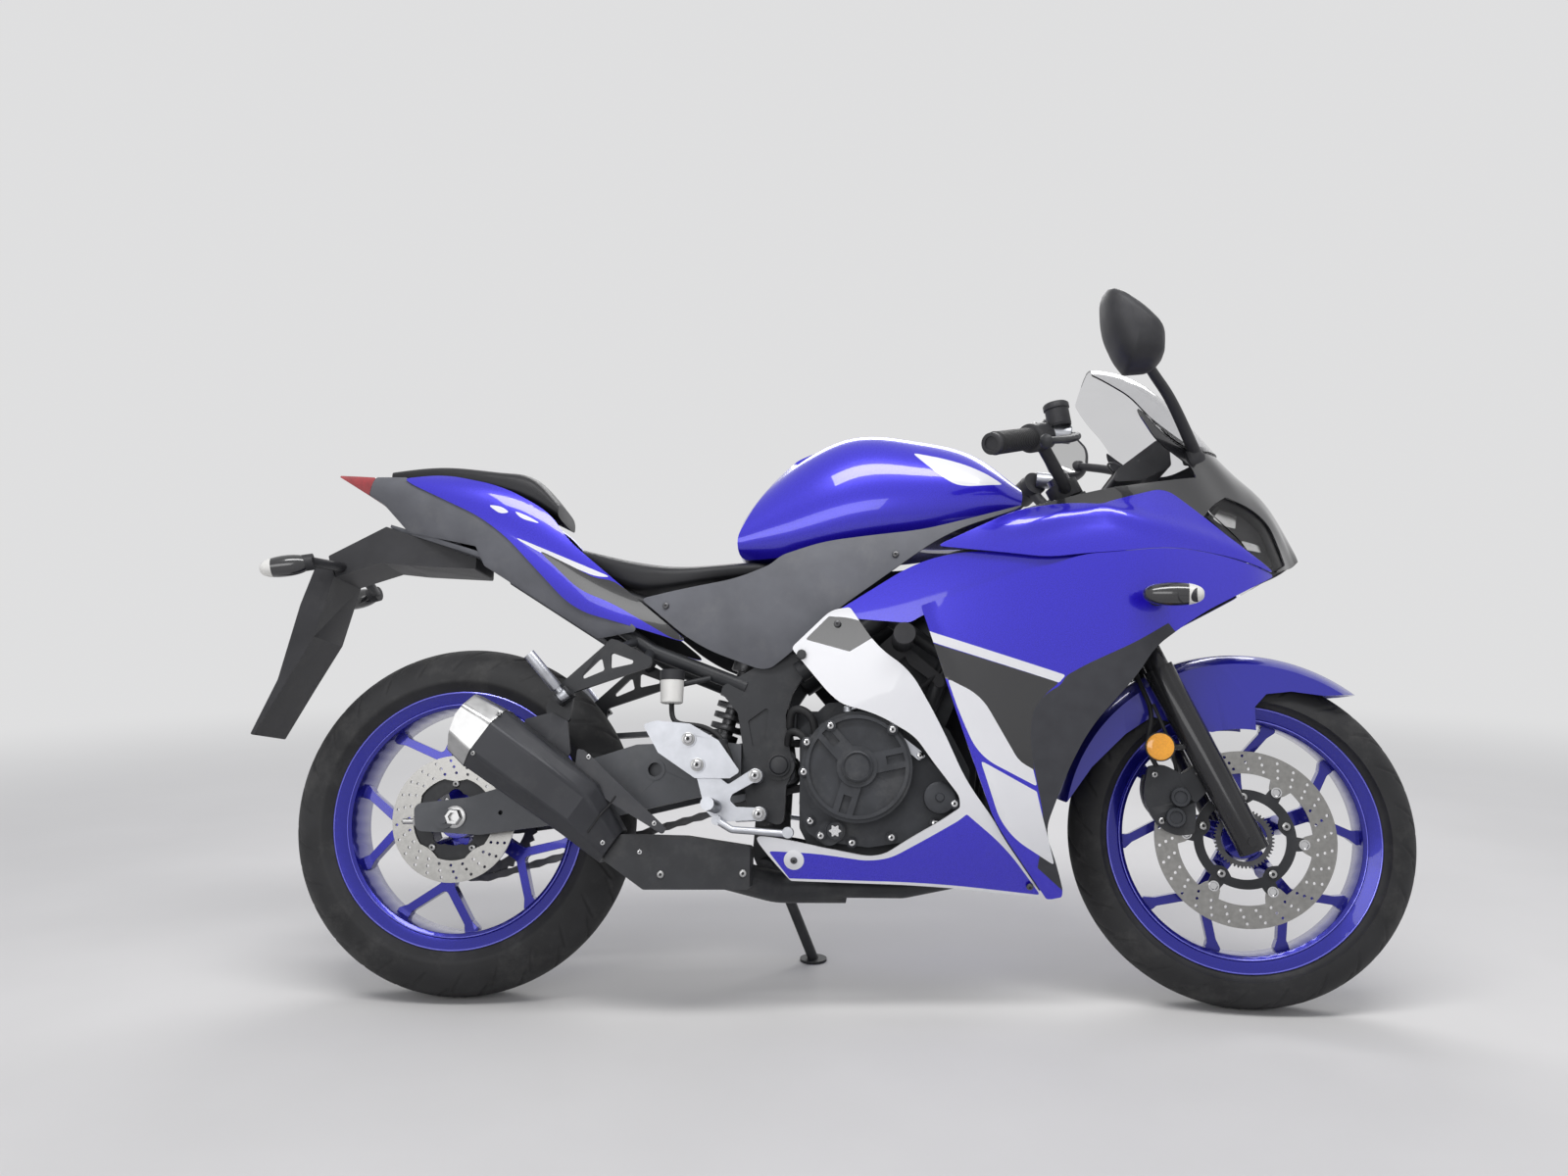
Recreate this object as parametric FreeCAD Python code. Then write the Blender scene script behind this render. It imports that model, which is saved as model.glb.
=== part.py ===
"""Sport motorcycle parked on its side stand.

The machine is modelled upright: X forward, Y to its left, Z up, the rear axle above x = 0 and the
ground at z = 0, in millimetres.  Each piece is then leaned onto the side stand, and the steered
pieces are first turned to the side on which the front wheel was left.
"""
import FreeCAD, Part
import math
import os
from FreeCAD import Vector

# Wheels and their places
WHEELBASE = 1380.0
REAR_TYRE_R = 311.0
REAR_TREAD_R = 70.0
FRONT_TYRE_R = 291.0
FRONT_TREAD_R = 56.0
REAR_RIM_HALF = 56.0
FRONT_RIM_HALF = 43.0
RIM_SEAT_R = 215.0
RIM_FLANGE_HEIGHT = 12.0
RIM_WELL_DEPTH = 16.0
RIM_FLANGE_R = RIM_SEAT_R + RIM_FLANGE_HEIGHT
RIM_INNER_R = RIM_SEAT_R - RIM_WELL_DEPTH
BEAD_GAP = 0.3
SPOKE_COUNT = 5
SPOKE_HALF_Y = 11.0
REAR_SPOKE_FIRST = 41.0
FRONT_SPOKE_FIRST = 19.5
TYRE_SIDES = 60
HUB_R = 34.0
FRONT_HUB_HALF = 46.0
REAR_HUB_HALF = 62.0

# Axles, brakes and chain
AXLE_R = 8.0
AXLE_RUNNING_GAP = 0.05
FRONT_DISC_R = 149.0
REAR_DISC_R = 110.0
FRONT_DISC_WIDTH = 38.0
REAR_DISC_WIDTH = 42.0
DISC_THICK = 4.5
DISC_BUTTONS = 6
FRONT_DISC_Y = -62.0
REAR_DISC_Y = -80.0
CALIPER_SLOT = 14.5
CHAIN_PITCH = 15.875
CHAIN_Y = 92.0
CHAIN_WIDTH = 17.0
CHAIN_PLATE_HALF = 7.5
CHAIN_WAIST = 2.2
CHAIN_PLATE_THICK = 3.4
CHAIN_WEB = 3.6
REAR_TEETH = 43
FRONT_TEETH = 14
SPROCKET_THICK = 6.0
FRONT_SPROCKET_X = 655.0
FRONT_SPROCKET_Z = 425.0

# Steering
RAKE = 25.0
TRAIL = 95.0
FORK_Y = 97.0
FORK_TUBE_R = 20.5
SLIDER_R = 26.0
SLIDER_TOP = 322.0
FORK_TOP = 700.0
LOWER_CLAMP = 470.0
UPPER_CLAMP = 630.0
CLAMP_THICK = 26.0
STEM_R = 15.0
STEM_GAP = 0.05
HEAD_TUBE_R = 31.0
HEAD_GAP = 6.0
BAR_R = 11.0
GRIP_R = 17.0
STEER_REST = -7.0

# Exhaust box
CHAMBER_OUTER = -172.0
CHAMBER_INNER = -92.0

# Frame and swingarm
FRAME_TUBE_R = 19.0
RAIL_R = 13.0
PIVOT_X = 578.0
PIVOT_Z = 405.0
PIVOT_R = 9.0
PLATE_Y = 118.0
PLATE_THICK = 18.0
ARM_Y = 114.0
ARM_THICK = 22.0
SPOOL_X = 96.0
SPOOL_Z = 322.0
SPOOL_R = 4.0
SPOOL_DEPTH = 16.0
ARM_HOLE = (363.0, 397.0)
ARM_HOLE_R = 12.0
PIVOT_CAP_R = 17.0
PIVOT_RIM = 3.0

# Panels
PANEL_WALL = 3.0
PANEL_GAP = 0.8
LAP_GAP = 0.3
COWL_STEP = PANEL_WALL + LAP_GAP
FAIRING_STEP = COWL_STEP
DUCT_STEP = -8.0
BELLY_STEP = FAIRING_STEP - PANEL_WALL - LAP_GAP
SCREEN_WALL = 3.0
MIRROR_PAD = 12.0
SEAT_GAP = 0.3

# Number-plate holder
CARRIER_HALF = 56.0
PLATE_HOLE_R = 3.0
PLATE_HOLE_DEPTH = 16.0
PLATE_HOLE_Y = 45.0
PLATE_FACE = ((-322.0, 700.0), (-352.0, 560.0))

# Filler lid
CAP_X = 842.0
CAP_Z = 1006.0
CAP_TILT = 12.0
CAP_R = 34.0
CAP_GAP = 1.6
CAP_DEPTH = 7.0
CAP_RISE = 3.0
NECK_R = 20.0
NECK_DEPTH = 62.0
PLUG_R = 14.0
PLUG_DEPTH = 8.0
LID_KNUCKLE_R = 3.5
LID_KNUCKLE_HALF = 8.0

# Engine
CASE_HALF = 104.0
BARREL_HALF = 84.0
HEAD_HALF = 86.0
COVER_GAP = 0.3
CHAIN_ROOM = 14.0

# Shock's upper mount
SHOCK_TUBE_X = 520.0
SHOCK_TUBE_Z = 631.0
SHOCK_EYE_HALF = 16.0

# Side stand and pegs
LEAN = 12.0
STAND_PIVOT = (545.0, 112.0, 240.0)
STAND_FOOT_X = 627.0
STAND_FOOT_Y = 233.0
STAND_PAD_R = 26.0
STAND_PAD = 5.0
STAND_AXIS = (0.22, 0.768, 0.60)
STAND_R = 10.0
STAND_PIN_R = 6.0
STAND_PIN_GAP = 0.05
PEG_X = 208.0
PEG_Y = 172.0
PEG_Z = 520.0
PEG_AXIS_TILT = 40.0
PEG_LENGTH = 92.0
PEG_R = 10.0
PEG_FOLD = 78.0
PEG_TONGUE = 16.0
PEG_EAR = 5.0
PEG_EAR_R = 11.0
PEG_PIN_R = 4.0
PEG_SIDE_GAP = 1.0
PEG_ARM_IN = 142.0
PEG_ARM_OUT = 152.0

RIGHT = -1.0
LEFT = 1.0
Y_AXIS = Vector(0, 1, 0)
REAR_AXLE = Vector(0, 0, REAR_TYRE_R)
FRONT_AXLE = Vector(WHEELBASE, 0, FRONT_TYRE_R)
RAKE_RAD = math.radians(RAKE)
STEER_FOOT = Vector(WHEELBASE + TRAIL, 0, 0)
STEER_DIR = Vector(-math.sin(RAKE_RAD), 0, math.cos(RAKE_RAD))
STEER_FORWARD = Vector(math.cos(RAKE_RAD), 0, math.sin(RAKE_RAD))
FORK_OFFSET = (FRONT_AXLE - STEER_FOOT).dot(STEER_FORWARD)
AXLE_ALONG = (FRONT_AXLE - STEER_FOOT).dot(STEER_DIR)
BODIES = {}


# Shape helpers

def corner_arc(before, corner, after, radius):
    """Ends and middle of the arc that rounds a corner, or None for a sharp one."""
    to_before = before - corner
    to_after = after - corner
    room = 0.45 * min(to_before.Length, to_after.Length)
    to_before.normalize()
    to_after.normalize()
    half = to_before.getAngle(to_after) / 2.0
    if radius <= 0 or half > math.radians(89.0) or half < math.radians(1.0):
        return None
    reach = min(radius / math.tan(half), room)
    start = corner + to_before * reach
    end = corner + to_after * reach
    middle_dir = to_before + to_after
    middle_dir.normalize()
    depth = reach / math.cos(half) - reach * math.tan(half)
    return start, corner + middle_dir * depth, end


def rounded_edges(points, radii, closed):
    """Straight runs joined by tangent arcs."""
    count = len(points)
    edges = []
    arcs = []
    for i in range(count):
        inner = closed or 0 < i < count - 1
        radius = radii[i] if isinstance(radii, (list, tuple)) else radii
        arcs.append(corner_arc(points[i - 1], points[i], points[(i + 1) % count], radius) if inner else None)
    for i in range(count if closed else count - 1):
        here, following = arcs[i], arcs[(i + 1) % count]
        start = here[2] if here else points[i]
        end = following[0] if following else points[(i + 1) % count]
        if here:
            edges.append(Part.Arc(*here).toShape())
        if (end - start).Length > 1e-4:
            edges.append(Part.LineSegment(start, end).toShape())
    return edges


def side_point(x, z, y=0.0):
    return Vector(x, y, z)


def side_face(outline, radii=0.0, y=0.0):
    """A face in a plane across Y, from (x, z) points."""
    points = [side_point(x, z, y) for x, z in outline]
    return Part.Face(Part.Wire(rounded_edges(points, radii, True)))


def side_prism(outline, y0, y1, radii=0.0):
    """A plate cut to a side-view outline, from y0 to y1."""
    return side_face(outline, radii, y0).extrude(Vector(0, y1 - y0, 0))


def free_prism(points, radii, direction):
    """A plate from a flat closed outline in space, as thick as the direction is long."""
    return Part.Face(Part.Wire(rounded_edges(points, radii, True))).extrude(direction)


def tube(points, radius, bend):
    """A round tube along straight runs and arcs."""
    path = Part.Wire(rounded_edges(points, bend, False))
    along = points[1] - points[0]
    profile = Part.Wire(Part.Circle(points[0], along, radius).toShape())
    return path.makePipeShell([profile], True, False)


def rod(start, end, radius):
    along = end - start
    return Part.makeCylinder(radius, along.Length, start, along)


def cone(start, end, r0, r1):
    along = end - start
    return Part.makeCone(r0, r1, along.Length, start, along)


def turned(profile, centre, angle=360.0):
    """A ring turned about a cross axis through centre, from (radius, y) points."""
    points = [Vector(centre.x + r, centre.y + y, centre.z) for r, y in profile]
    face = Part.Face(Part.makePolygon(points + points[:1]))
    return face.revolve(centre, Y_AXIS, angle)


def disc_between(centre, radius, y0, y1):
    return Part.makeCylinder(radius, y1 - y0, Vector(centre.x, y0, centre.z), Y_AXIS)


def fused(shapes):
    whole = shapes[0]
    if len(shapes) > 1:
        whole = whole.multiFuse(shapes[1:])
    return whole.removeSplitter()


def mirrored(shape):
    return shape.mirror(Vector(0, 0, 0), Y_AXIS)


def both_sides(shape):
    return [shape, mirrored(shape)]


def drawn_in(profile, shrink):
    """A section's points moved inward along the curve's normals."""
    moved_points = []
    for i, (y, z) in enumerate(profile):
        before = profile[max(i - 1, 0)]
        after = profile[min(i + 1, len(profile) - 1)]
        along_y, along_z = after[0] - before[0], after[1] - before[1]
        length = math.hypot(along_y, along_z)
        if i == 0:
            moved_points.append((max(y - shrink, 0.5), z))
        elif y < 0.01:
            moved_points.append((0.0, z - shrink))
        else:
            inward = y - shrink * along_z / length
            moved_points.append((max(inward, 0.5), z + shrink * along_y / length))
    return moved_points


def section_wire(x, profile):
    """A closed section in the plane at x: a curve over (y, z) points, shut along the middle plane."""
    points = [Vector(x, y, z) for y, z in profile]
    curve = Part.BSplineCurve()
    curve.interpolate(points)
    low = Vector(x, 0, profile[0][1])
    high = points[-1]
    edges = [curve.toShape()]
    if profile[-1][0] > 0.01:
        high = Vector(x, 0, profile[-1][1])
        edges.append(Part.LineSegment(points[-1], high).toShape())
    edges.append(Part.LineSegment(high, low).toShape())
    edges.append(Part.LineSegment(low, points[0]).toShape())
    return Part.Wire(edges)


def half_body(form, shrink=0.0):
    """The solid on the left of the middle plane under a table of sections, drawn in by shrink."""
    key = (id(form), round(shrink, 3))
    if key not in BODIES:
        last = len(form) - 1
        wires = []
        for i, (x, profile) in enumerate(form):
            end_shift = shrink if i == 0 else -shrink if i == last else 0.0
            wires.append(section_wire(x + end_shift, drawn_in(profile, shrink)))
        BODIES[key] = Part.makeLoft(wires, True, False)
    return BODIES[key]


def skin_panel(form, outline, radii=0.0, outset=0.0, wall=PANEL_WALL, inner_y=0.0):
    """A wall that follows a form, cut to a side-view outline; on the left of the middle plane."""
    cutter = side_prism(outline, inner_y, 400.0, radii)
    outer = half_body(form, -outset).common(cutter)
    return outer.cut(half_body(form, wall - outset))


def steer_point(along, forward=0.0, y=0.0):
    """A point by its distance up the steering axis from the ground, and ahead of the axis."""
    return STEER_FOOT + STEER_DIR * along + STEER_FORWARD * forward + Vector(0, y, 0)


# Forms of the bodywork: stations along x, each a curve of (half width, height) from bottom to top

BODY_FORM = (
    (540.0, ((118, 180), (158, 300), (172, 450), (180, 620), (177, 700), (170, 765), (160, 830), (150, 885),
             (140, 940), (125, 1000), (90, 1050), (45, 1080), (0, 1090))),
    (760.0, ((112, 180), (165, 300), (190, 450), (206, 620), (206, 700), (202, 765), (188, 825), (168, 880),
             (156, 940), (140, 1000), (100, 1050), (50, 1080), (0, 1090))),
    (960.0, ((98, 180), (158, 300), (194, 450), (220, 620), (224, 700), (222, 765), (209, 820), (189, 868),
             (172, 940), (160, 1000), (112, 1060), (52, 1095), (0, 1105))),
    (1130.0, ((94, 180), (150, 300), (188, 450), (216, 620), (220, 700), (218, 765), (202, 830), (172, 882),
              (160, 945), (153, 1012), (110, 1092), (52, 1140), (0, 1154))),
    (1250.0, ((76, 180), (124, 300), (156, 450), (184, 620), (190, 700), (188, 765), (172, 835), (150, 888),
              (139, 950), (130, 1005), (94, 1072), (46, 1112), (0, 1127))),
    (1350.0, ((50, 180), (86, 300), (112, 450), (138, 620), (147, 700), (146, 765), (131, 835), (110, 888),
              (94, 930), (82, 962), (56, 995), (28, 1015), (0, 1022))),
    (1420.0, ((30, 180), (56, 300), (76, 450), (96, 620), (108, 700), (109, 765), (97, 820), (80, 865),
              (66, 892), (52, 912), (35, 930), (17, 942), (0, 946))),
    (1475.0, ((14, 180), (26, 300), (36, 450), (46, 620), (58, 705), (62, 765), (56, 800), (46, 838),
              (38, 852), (29, 866), (19, 878), (9, 886), (0, 889))),
    (1516.0, ((3, 180), (5, 300), (7, 450), (9, 620), (14, 710), (17, 770), (16, 780), (14, 788),
              (12, 794), (10, 799), (7, 803), (4, 806), (0, 808))),
)
TAIL_FORM = (
    (-300.0, ((16, 900), (24, 930), (26, 950), (20, 962), (0, 966))),
    (-190.0, ((40, 860), (54, 905), (60, 935), (46, 958), (0, 966))),
    (-60.0, ((70, 800), (86, 860), (88, 905), (68, 945), (0, 958))),
    (100.0, ((86, 700), (106, 780), (106, 850), (84, 910), (0, 950))),
    (260.0, ((94, 600), (120, 680), (120, 750), (100, 800), (0, 850))),
    (430.0, ((94, 560), (126, 620), (128, 690), (104, 740), (0, 790))),
)
COVER_FORM = (
    (290.0, ((96, 540), (126, 620), (130, 700), (112, 770), (60, 820))),
    (450.0, ((110, 540), (140, 620), (144, 700), (124, 775), (60, 830))),
    (600.0, ((122, 540), (152, 620), (156, 710), (138, 790), (60, 850))),
    (800.0, ((140, 600), (170, 690), (172, 770), (154, 830), (60, 880))),
    (1010.0, ((160, 700), (186, 780), (184, 840), (160, 880), (60, 920))),
)
TANK_FORM = (
    (490.0, ((66, 776), (88, 800), (84, 840), (56, 868), (0, 876))),
    (590.0, ((92, 776), (112, 812), (112, 880), (82, 940), (0, 966))),
    (700.0, ((112, 790), (138, 830), (142, 910), (104, 990), (0, 1022))),
    (830.0, ((124, 806), (150, 850), (150, 920), (108, 984), (0, 1010))),
    (950.0, ((118, 826), (140, 864), (134, 910), (92, 952), (0, 968))),
    (1010.0, ((100, 846), (116, 866), (108, 890), (70, 910), (0, 918))),
)


# Wheels

def tyre(centre, radius, tread_r, rim_half):
    """A tyre with a round tread drawn as flats, its turns drawn as straight sides, over the rim's flanges."""
    wider = 1.0 / math.cos(math.pi / TYRE_SIDES)
    half = []
    for angle in (12.0, 38.0, 64.0, 88.0):
        a = math.radians(angle)
        half.append((radius - tread_r * (1.0 - math.cos(a)), tread_r * math.sin(a)))
    half.append(((RIM_FLANGE_R + BEAD_GAP) * wider, rim_half))
    half.append(((RIM_SEAT_R + BEAD_GAP) * wider, rim_half - 8.0 - BEAD_GAP))
    profile = half + [(r, -y) for r, y in reversed(half)]
    rings = []
    for i in range(TYRE_SIDES):
        angle = 2.0 * math.pi * i / TYRE_SIDES
        rings.append([centre + radial(angle, r) + Y_AXIS * y for r, y in profile])
    faces = []
    for here, following in zip(rings, rings[1:] + rings[:1]):
        for j in range(len(profile)):
            k = (j + 1) % len(profile)
            corners = [here[j], here[k], following[k], following[j], here[j]]
            faces.append(Part.Face(Part.makePolygon(corners)))
    solid = Part.Solid(Part.Shell(faces))
    return solid if solid.Volume > 0 else solid.reversed()


def spoke(centre, angle):
    """A cast spoke: its stem forks into two limbs, each flared where it meets the rim."""
    reach = RIM_INNER_R + 3.0
    flare = [(reach * math.cos(math.radians(a)), reach * math.sin(math.radians(a))) for a in (24.5, 15.5)]
    half = [(HUB_R - 8.0, 17.0), (92.0, 12.5), (120.0, 13.0), (170.0, 61.0)] + flare + [(180.0, 50.0)]
    outline = half + [(129.0, 0.0)] + [(r, -t) for r, t in reversed(half)]
    out = radial(math.radians(angle), 1.0)
    across = radial(math.radians(angle + 90.0), 1.0)
    points = [centre + out * r + across * t - Y_AXIS * SPOKE_HALF_Y for r, t in outline]
    return free_prism(points, 8.0, Y_AXIS * 2.0 * SPOKE_HALF_Y)


def rim(centre, rim_half, hub_half, first):
    """A cast wheel: rim, hub and forked spokes, the first spoke at the given angle."""
    well = rim_half - 8.0
    ring = turned([(RIM_FLANGE_R, -rim_half), (RIM_SEAT_R, -well), (RIM_SEAT_R, well),
                   (RIM_FLANGE_R, rim_half), (RIM_INNER_R, rim_half - 12.0),
                   (RIM_INNER_R, -rim_half + 12.0)], centre)
    pieces = [ring, disc_between(centre, HUB_R, -hub_half, hub_half)]
    for i in range(SPOKE_COUNT):
        pieces.append(spoke(centre, first + i * 360.0 / SPOKE_COUNT))
    whole = fused(pieces)
    bore = disc_between(centre, AXLE_R + AXLE_RUNNING_GAP, -hub_half - 1.0, hub_half + 1.0)
    return whole.cut(bore)


def flat_ring(centre, outer, inner, y0, y1):
    return disc_between(centre, outer, y0, y1).cut(disc_between(centre, inner, y0 - 1.0, y1 + 1.0))


def arm_prism(centre, angle, inner, outer, width, y0, y1):
    """A straight arm from one radius to another, from y0 to y1."""
    out = radial(math.radians(angle), 1.0)
    across = radial(math.radians(angle + 90.0), width / 2.0)
    base = Vector(centre.x, y0, centre.z)
    points = [base + out * inner - across, base + out * inner + across,
              base + out * outer + across, base + out * outer - across]
    return free_prism(points, 0.0, Vector(0, y1 - y0, 0))


def brake_disc(centre, radius, width, y, hub_half, arms, arm_width):
    """A brake rotor on its carrier's arms, seated on the wheel's hub."""
    inner = radius - width
    low, high = y - DISC_THICK / 2, y + DISC_THICK / 2
    side = math.copysign(1.0, y)
    seat = [disc_between(centre, HUB_R - 4.0, *sorted((side * (hub_half + 0.2), y))),
            disc_between(centre, HUB_R + 14.0, low, high)]
    pieces = [flat_ring(centre, radius, inner, low, high)] + seat
    for i in range(arms):
        pieces.append(arm_prism(centre, 18.0 + i * 360.0 / arms, HUB_R, inner + 4.0, arm_width, low, high))
    return fused(pieces).cut(disc_between(centre, AXLE_R + 12.0, -140.0, 140.0))


def make_front_disc():
    """Floating rotor: six tabs with buttons join it to a ring on the hub's five arms."""
    inner = FRONT_DISC_R - FRONT_DISC_WIDTH
    button_r = inner - 15.0
    low, high = FRONT_DISC_Y - DISC_THICK / 2, FRONT_DISC_Y + DISC_THICK / 2
    side = math.copysign(1.0, FRONT_DISC_Y)
    pieces = [flat_ring(FRONT_AXLE, FRONT_DISC_R, inner, low, high),
              flat_ring(FRONT_AXLE, button_r - 6.0, button_r - 26.0, low, high),
              disc_between(FRONT_AXLE, HUB_R - 4.0, *sorted((side * (FRONT_HUB_HALF + 0.2), FRONT_DISC_Y))),
              disc_between(FRONT_AXLE, HUB_R + 14.0, low, high)]
    for i in range(DISC_BUTTONS):
        angle = 55.0 + i * 360.0 / DISC_BUTTONS
        pieces.append(arm_prism(FRONT_AXLE, angle, button_r - 12.0, inner + 4.0, 24.0, low, high))
        button = FRONT_AXLE + radial(math.radians(angle), button_r)
        pieces.append(disc_between(button, 8.0, low - 1.5, high + 1.5))
    for i in range(SPOKE_COUNT):
        angle = 18.0 + i * 360.0 / SPOKE_COUNT
        pieces.append(arm_prism(FRONT_AXLE, angle, HUB_R, button_r - 20.0, 26.0, low, high))
    return fused(pieces).cut(disc_between(FRONT_AXLE, AXLE_R + 12.0, -140.0, 140.0))


def pitch_radius(teeth):
    return CHAIN_PITCH / (2.0 * math.sin(math.pi / teeth))


def chain_point(s, outset):
    """A point on the chain's loop at path length s, moved outward by outset; also the loop's length."""
    front = Vector(FRONT_SPROCKET_X, 0, FRONT_SPROCKET_Z)
    r_rear, r_front = pitch_radius(REAR_TEETH), pitch_radius(FRONT_TEETH)
    span = front - REAR_AXLE
    slope = math.atan2(span.z, span.x)
    tilt = math.asin((r_rear - r_front) / span.Length)
    run = span.Length * math.cos(tilt)
    top_normal = slope + math.pi / 2 - tilt
    low_normal = slope - math.pi / 2 + tilt
    front_turn = top_normal - low_normal
    rear_turn = 2 * math.pi - front_turn
    length = 2 * run + r_front * front_turn + r_rear * rear_turn
    s = s % length
    top_dir = Vector(math.sin(top_normal), 0, -math.cos(top_normal))
    if s < run:
        start = REAR_AXLE + radial(top_normal, r_rear + outset)
        return start + top_dir * s, length
    s -= run
    if s < r_front * front_turn:
        return front + radial(top_normal - s / r_front, r_front + outset), length
    s -= r_front * front_turn
    low_dir = Vector(math.sin(low_normal), 0, -math.cos(low_normal))
    if s < run:
        start = front + radial(low_normal, r_front + outset)
        return start + low_dir * s, length
    s -= run
    return REAR_AXLE + radial(low_normal - s / r_rear, r_rear + outset), length


def radial(angle, radius):
    return Vector(math.cos(angle), 0, math.sin(angle)) * radius


def chain_ring(outsets, y0, y1):
    """A closed loop extruded across, its outset alternating between the two given values."""
    length = chain_point(0.0, 0.0)[1]
    links = 2 * int(round(length / CHAIN_PITCH / 2))
    step = length / links
    points = []
    for i in range(links):
        point = chain_point(i * step, outsets[i % 2])[0]
        points.append(Vector(point.x, y0, point.z))
    face = Part.Face(Part.makePolygon(points + points[:1]))
    return face.extrude(Vector(0, y1 - y0, 0))


def make_chain():
    """One fixed loop: two rows of waisted plates, joined outside the sprocket's teeth."""
    low, high = CHAIN_Y - CHAIN_WIDTH / 2, CHAIN_Y + CHAIN_WIDTH / 2
    outer = chain_ring((CHAIN_PLATE_HALF, CHAIN_PLATE_HALF - CHAIN_WAIST), low, high)
    inner = chain_ring((-CHAIN_PLATE_HALF, -CHAIN_PLATE_HALF + CHAIN_WAIST), low - 1, high + 1)
    groove = chain_ring((CHAIN_WEB, CHAIN_WEB), low + CHAIN_PLATE_THICK, high - CHAIN_PLATE_THICK)
    return outer.cut(inner).cut(groove)


def make_rear_sprocket():
    """Toothed ring, arms and hub seat."""
    y0, y1 = CHAIN_Y - SPROCKET_THICK / 2, CHAIN_Y + SPROCKET_THICK / 2
    tip = pitch_radius(REAR_TEETH) - 0.5
    root = tip - 7.0
    points = []
    for i in range(2 * REAR_TEETH):
        angle = math.pi * i / REAR_TEETH
        point = REAR_AXLE + radial(angle, tip if i % 2 else root)
        points.append(Vector(point.x, y0, point.z))
    ring = Part.Face(Part.makePolygon(points + points[:1])).extrude(Vector(0, y1 - y0, 0))
    ring = ring.cut(disc_between(REAR_AXLE, root - 16.0, y0 - 1, y1 + 1))
    pieces = [ring, disc_between(REAR_AXLE, HUB_R + 12.0, REAR_HUB_HALF + 0.2, y1)]
    for i in range(SPOKE_COUNT):
        pieces.append(arm_prism(REAR_AXLE, i * 360.0 / SPOKE_COUNT, HUB_R, root - 12.0, 22.0, y0, y1))
    bore = disc_between(REAR_AXLE, AXLE_R + 12.0, 0.0, 140.0)
    return fused(pieces).cut(bore)


# Frame, swingarm and engine

DOWN_TUBE = (steer_point(825.0, 0.0, 24.0), Vector(985, 110, 700))


def lower_rail(radius):
    return tube([Vector(520, PLATE_Y, 540), Vector(350, 104, 606), Vector(150, 80, 750)], radius, 80.0)


def stay_to_skin(start, radius, depth, form=BODY_FORM):
    """A spacer from the frame out to the inside of a body panel."""
    return disc_between(start, radius, start.y, 300.0).common(half_body(form, depth))


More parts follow.
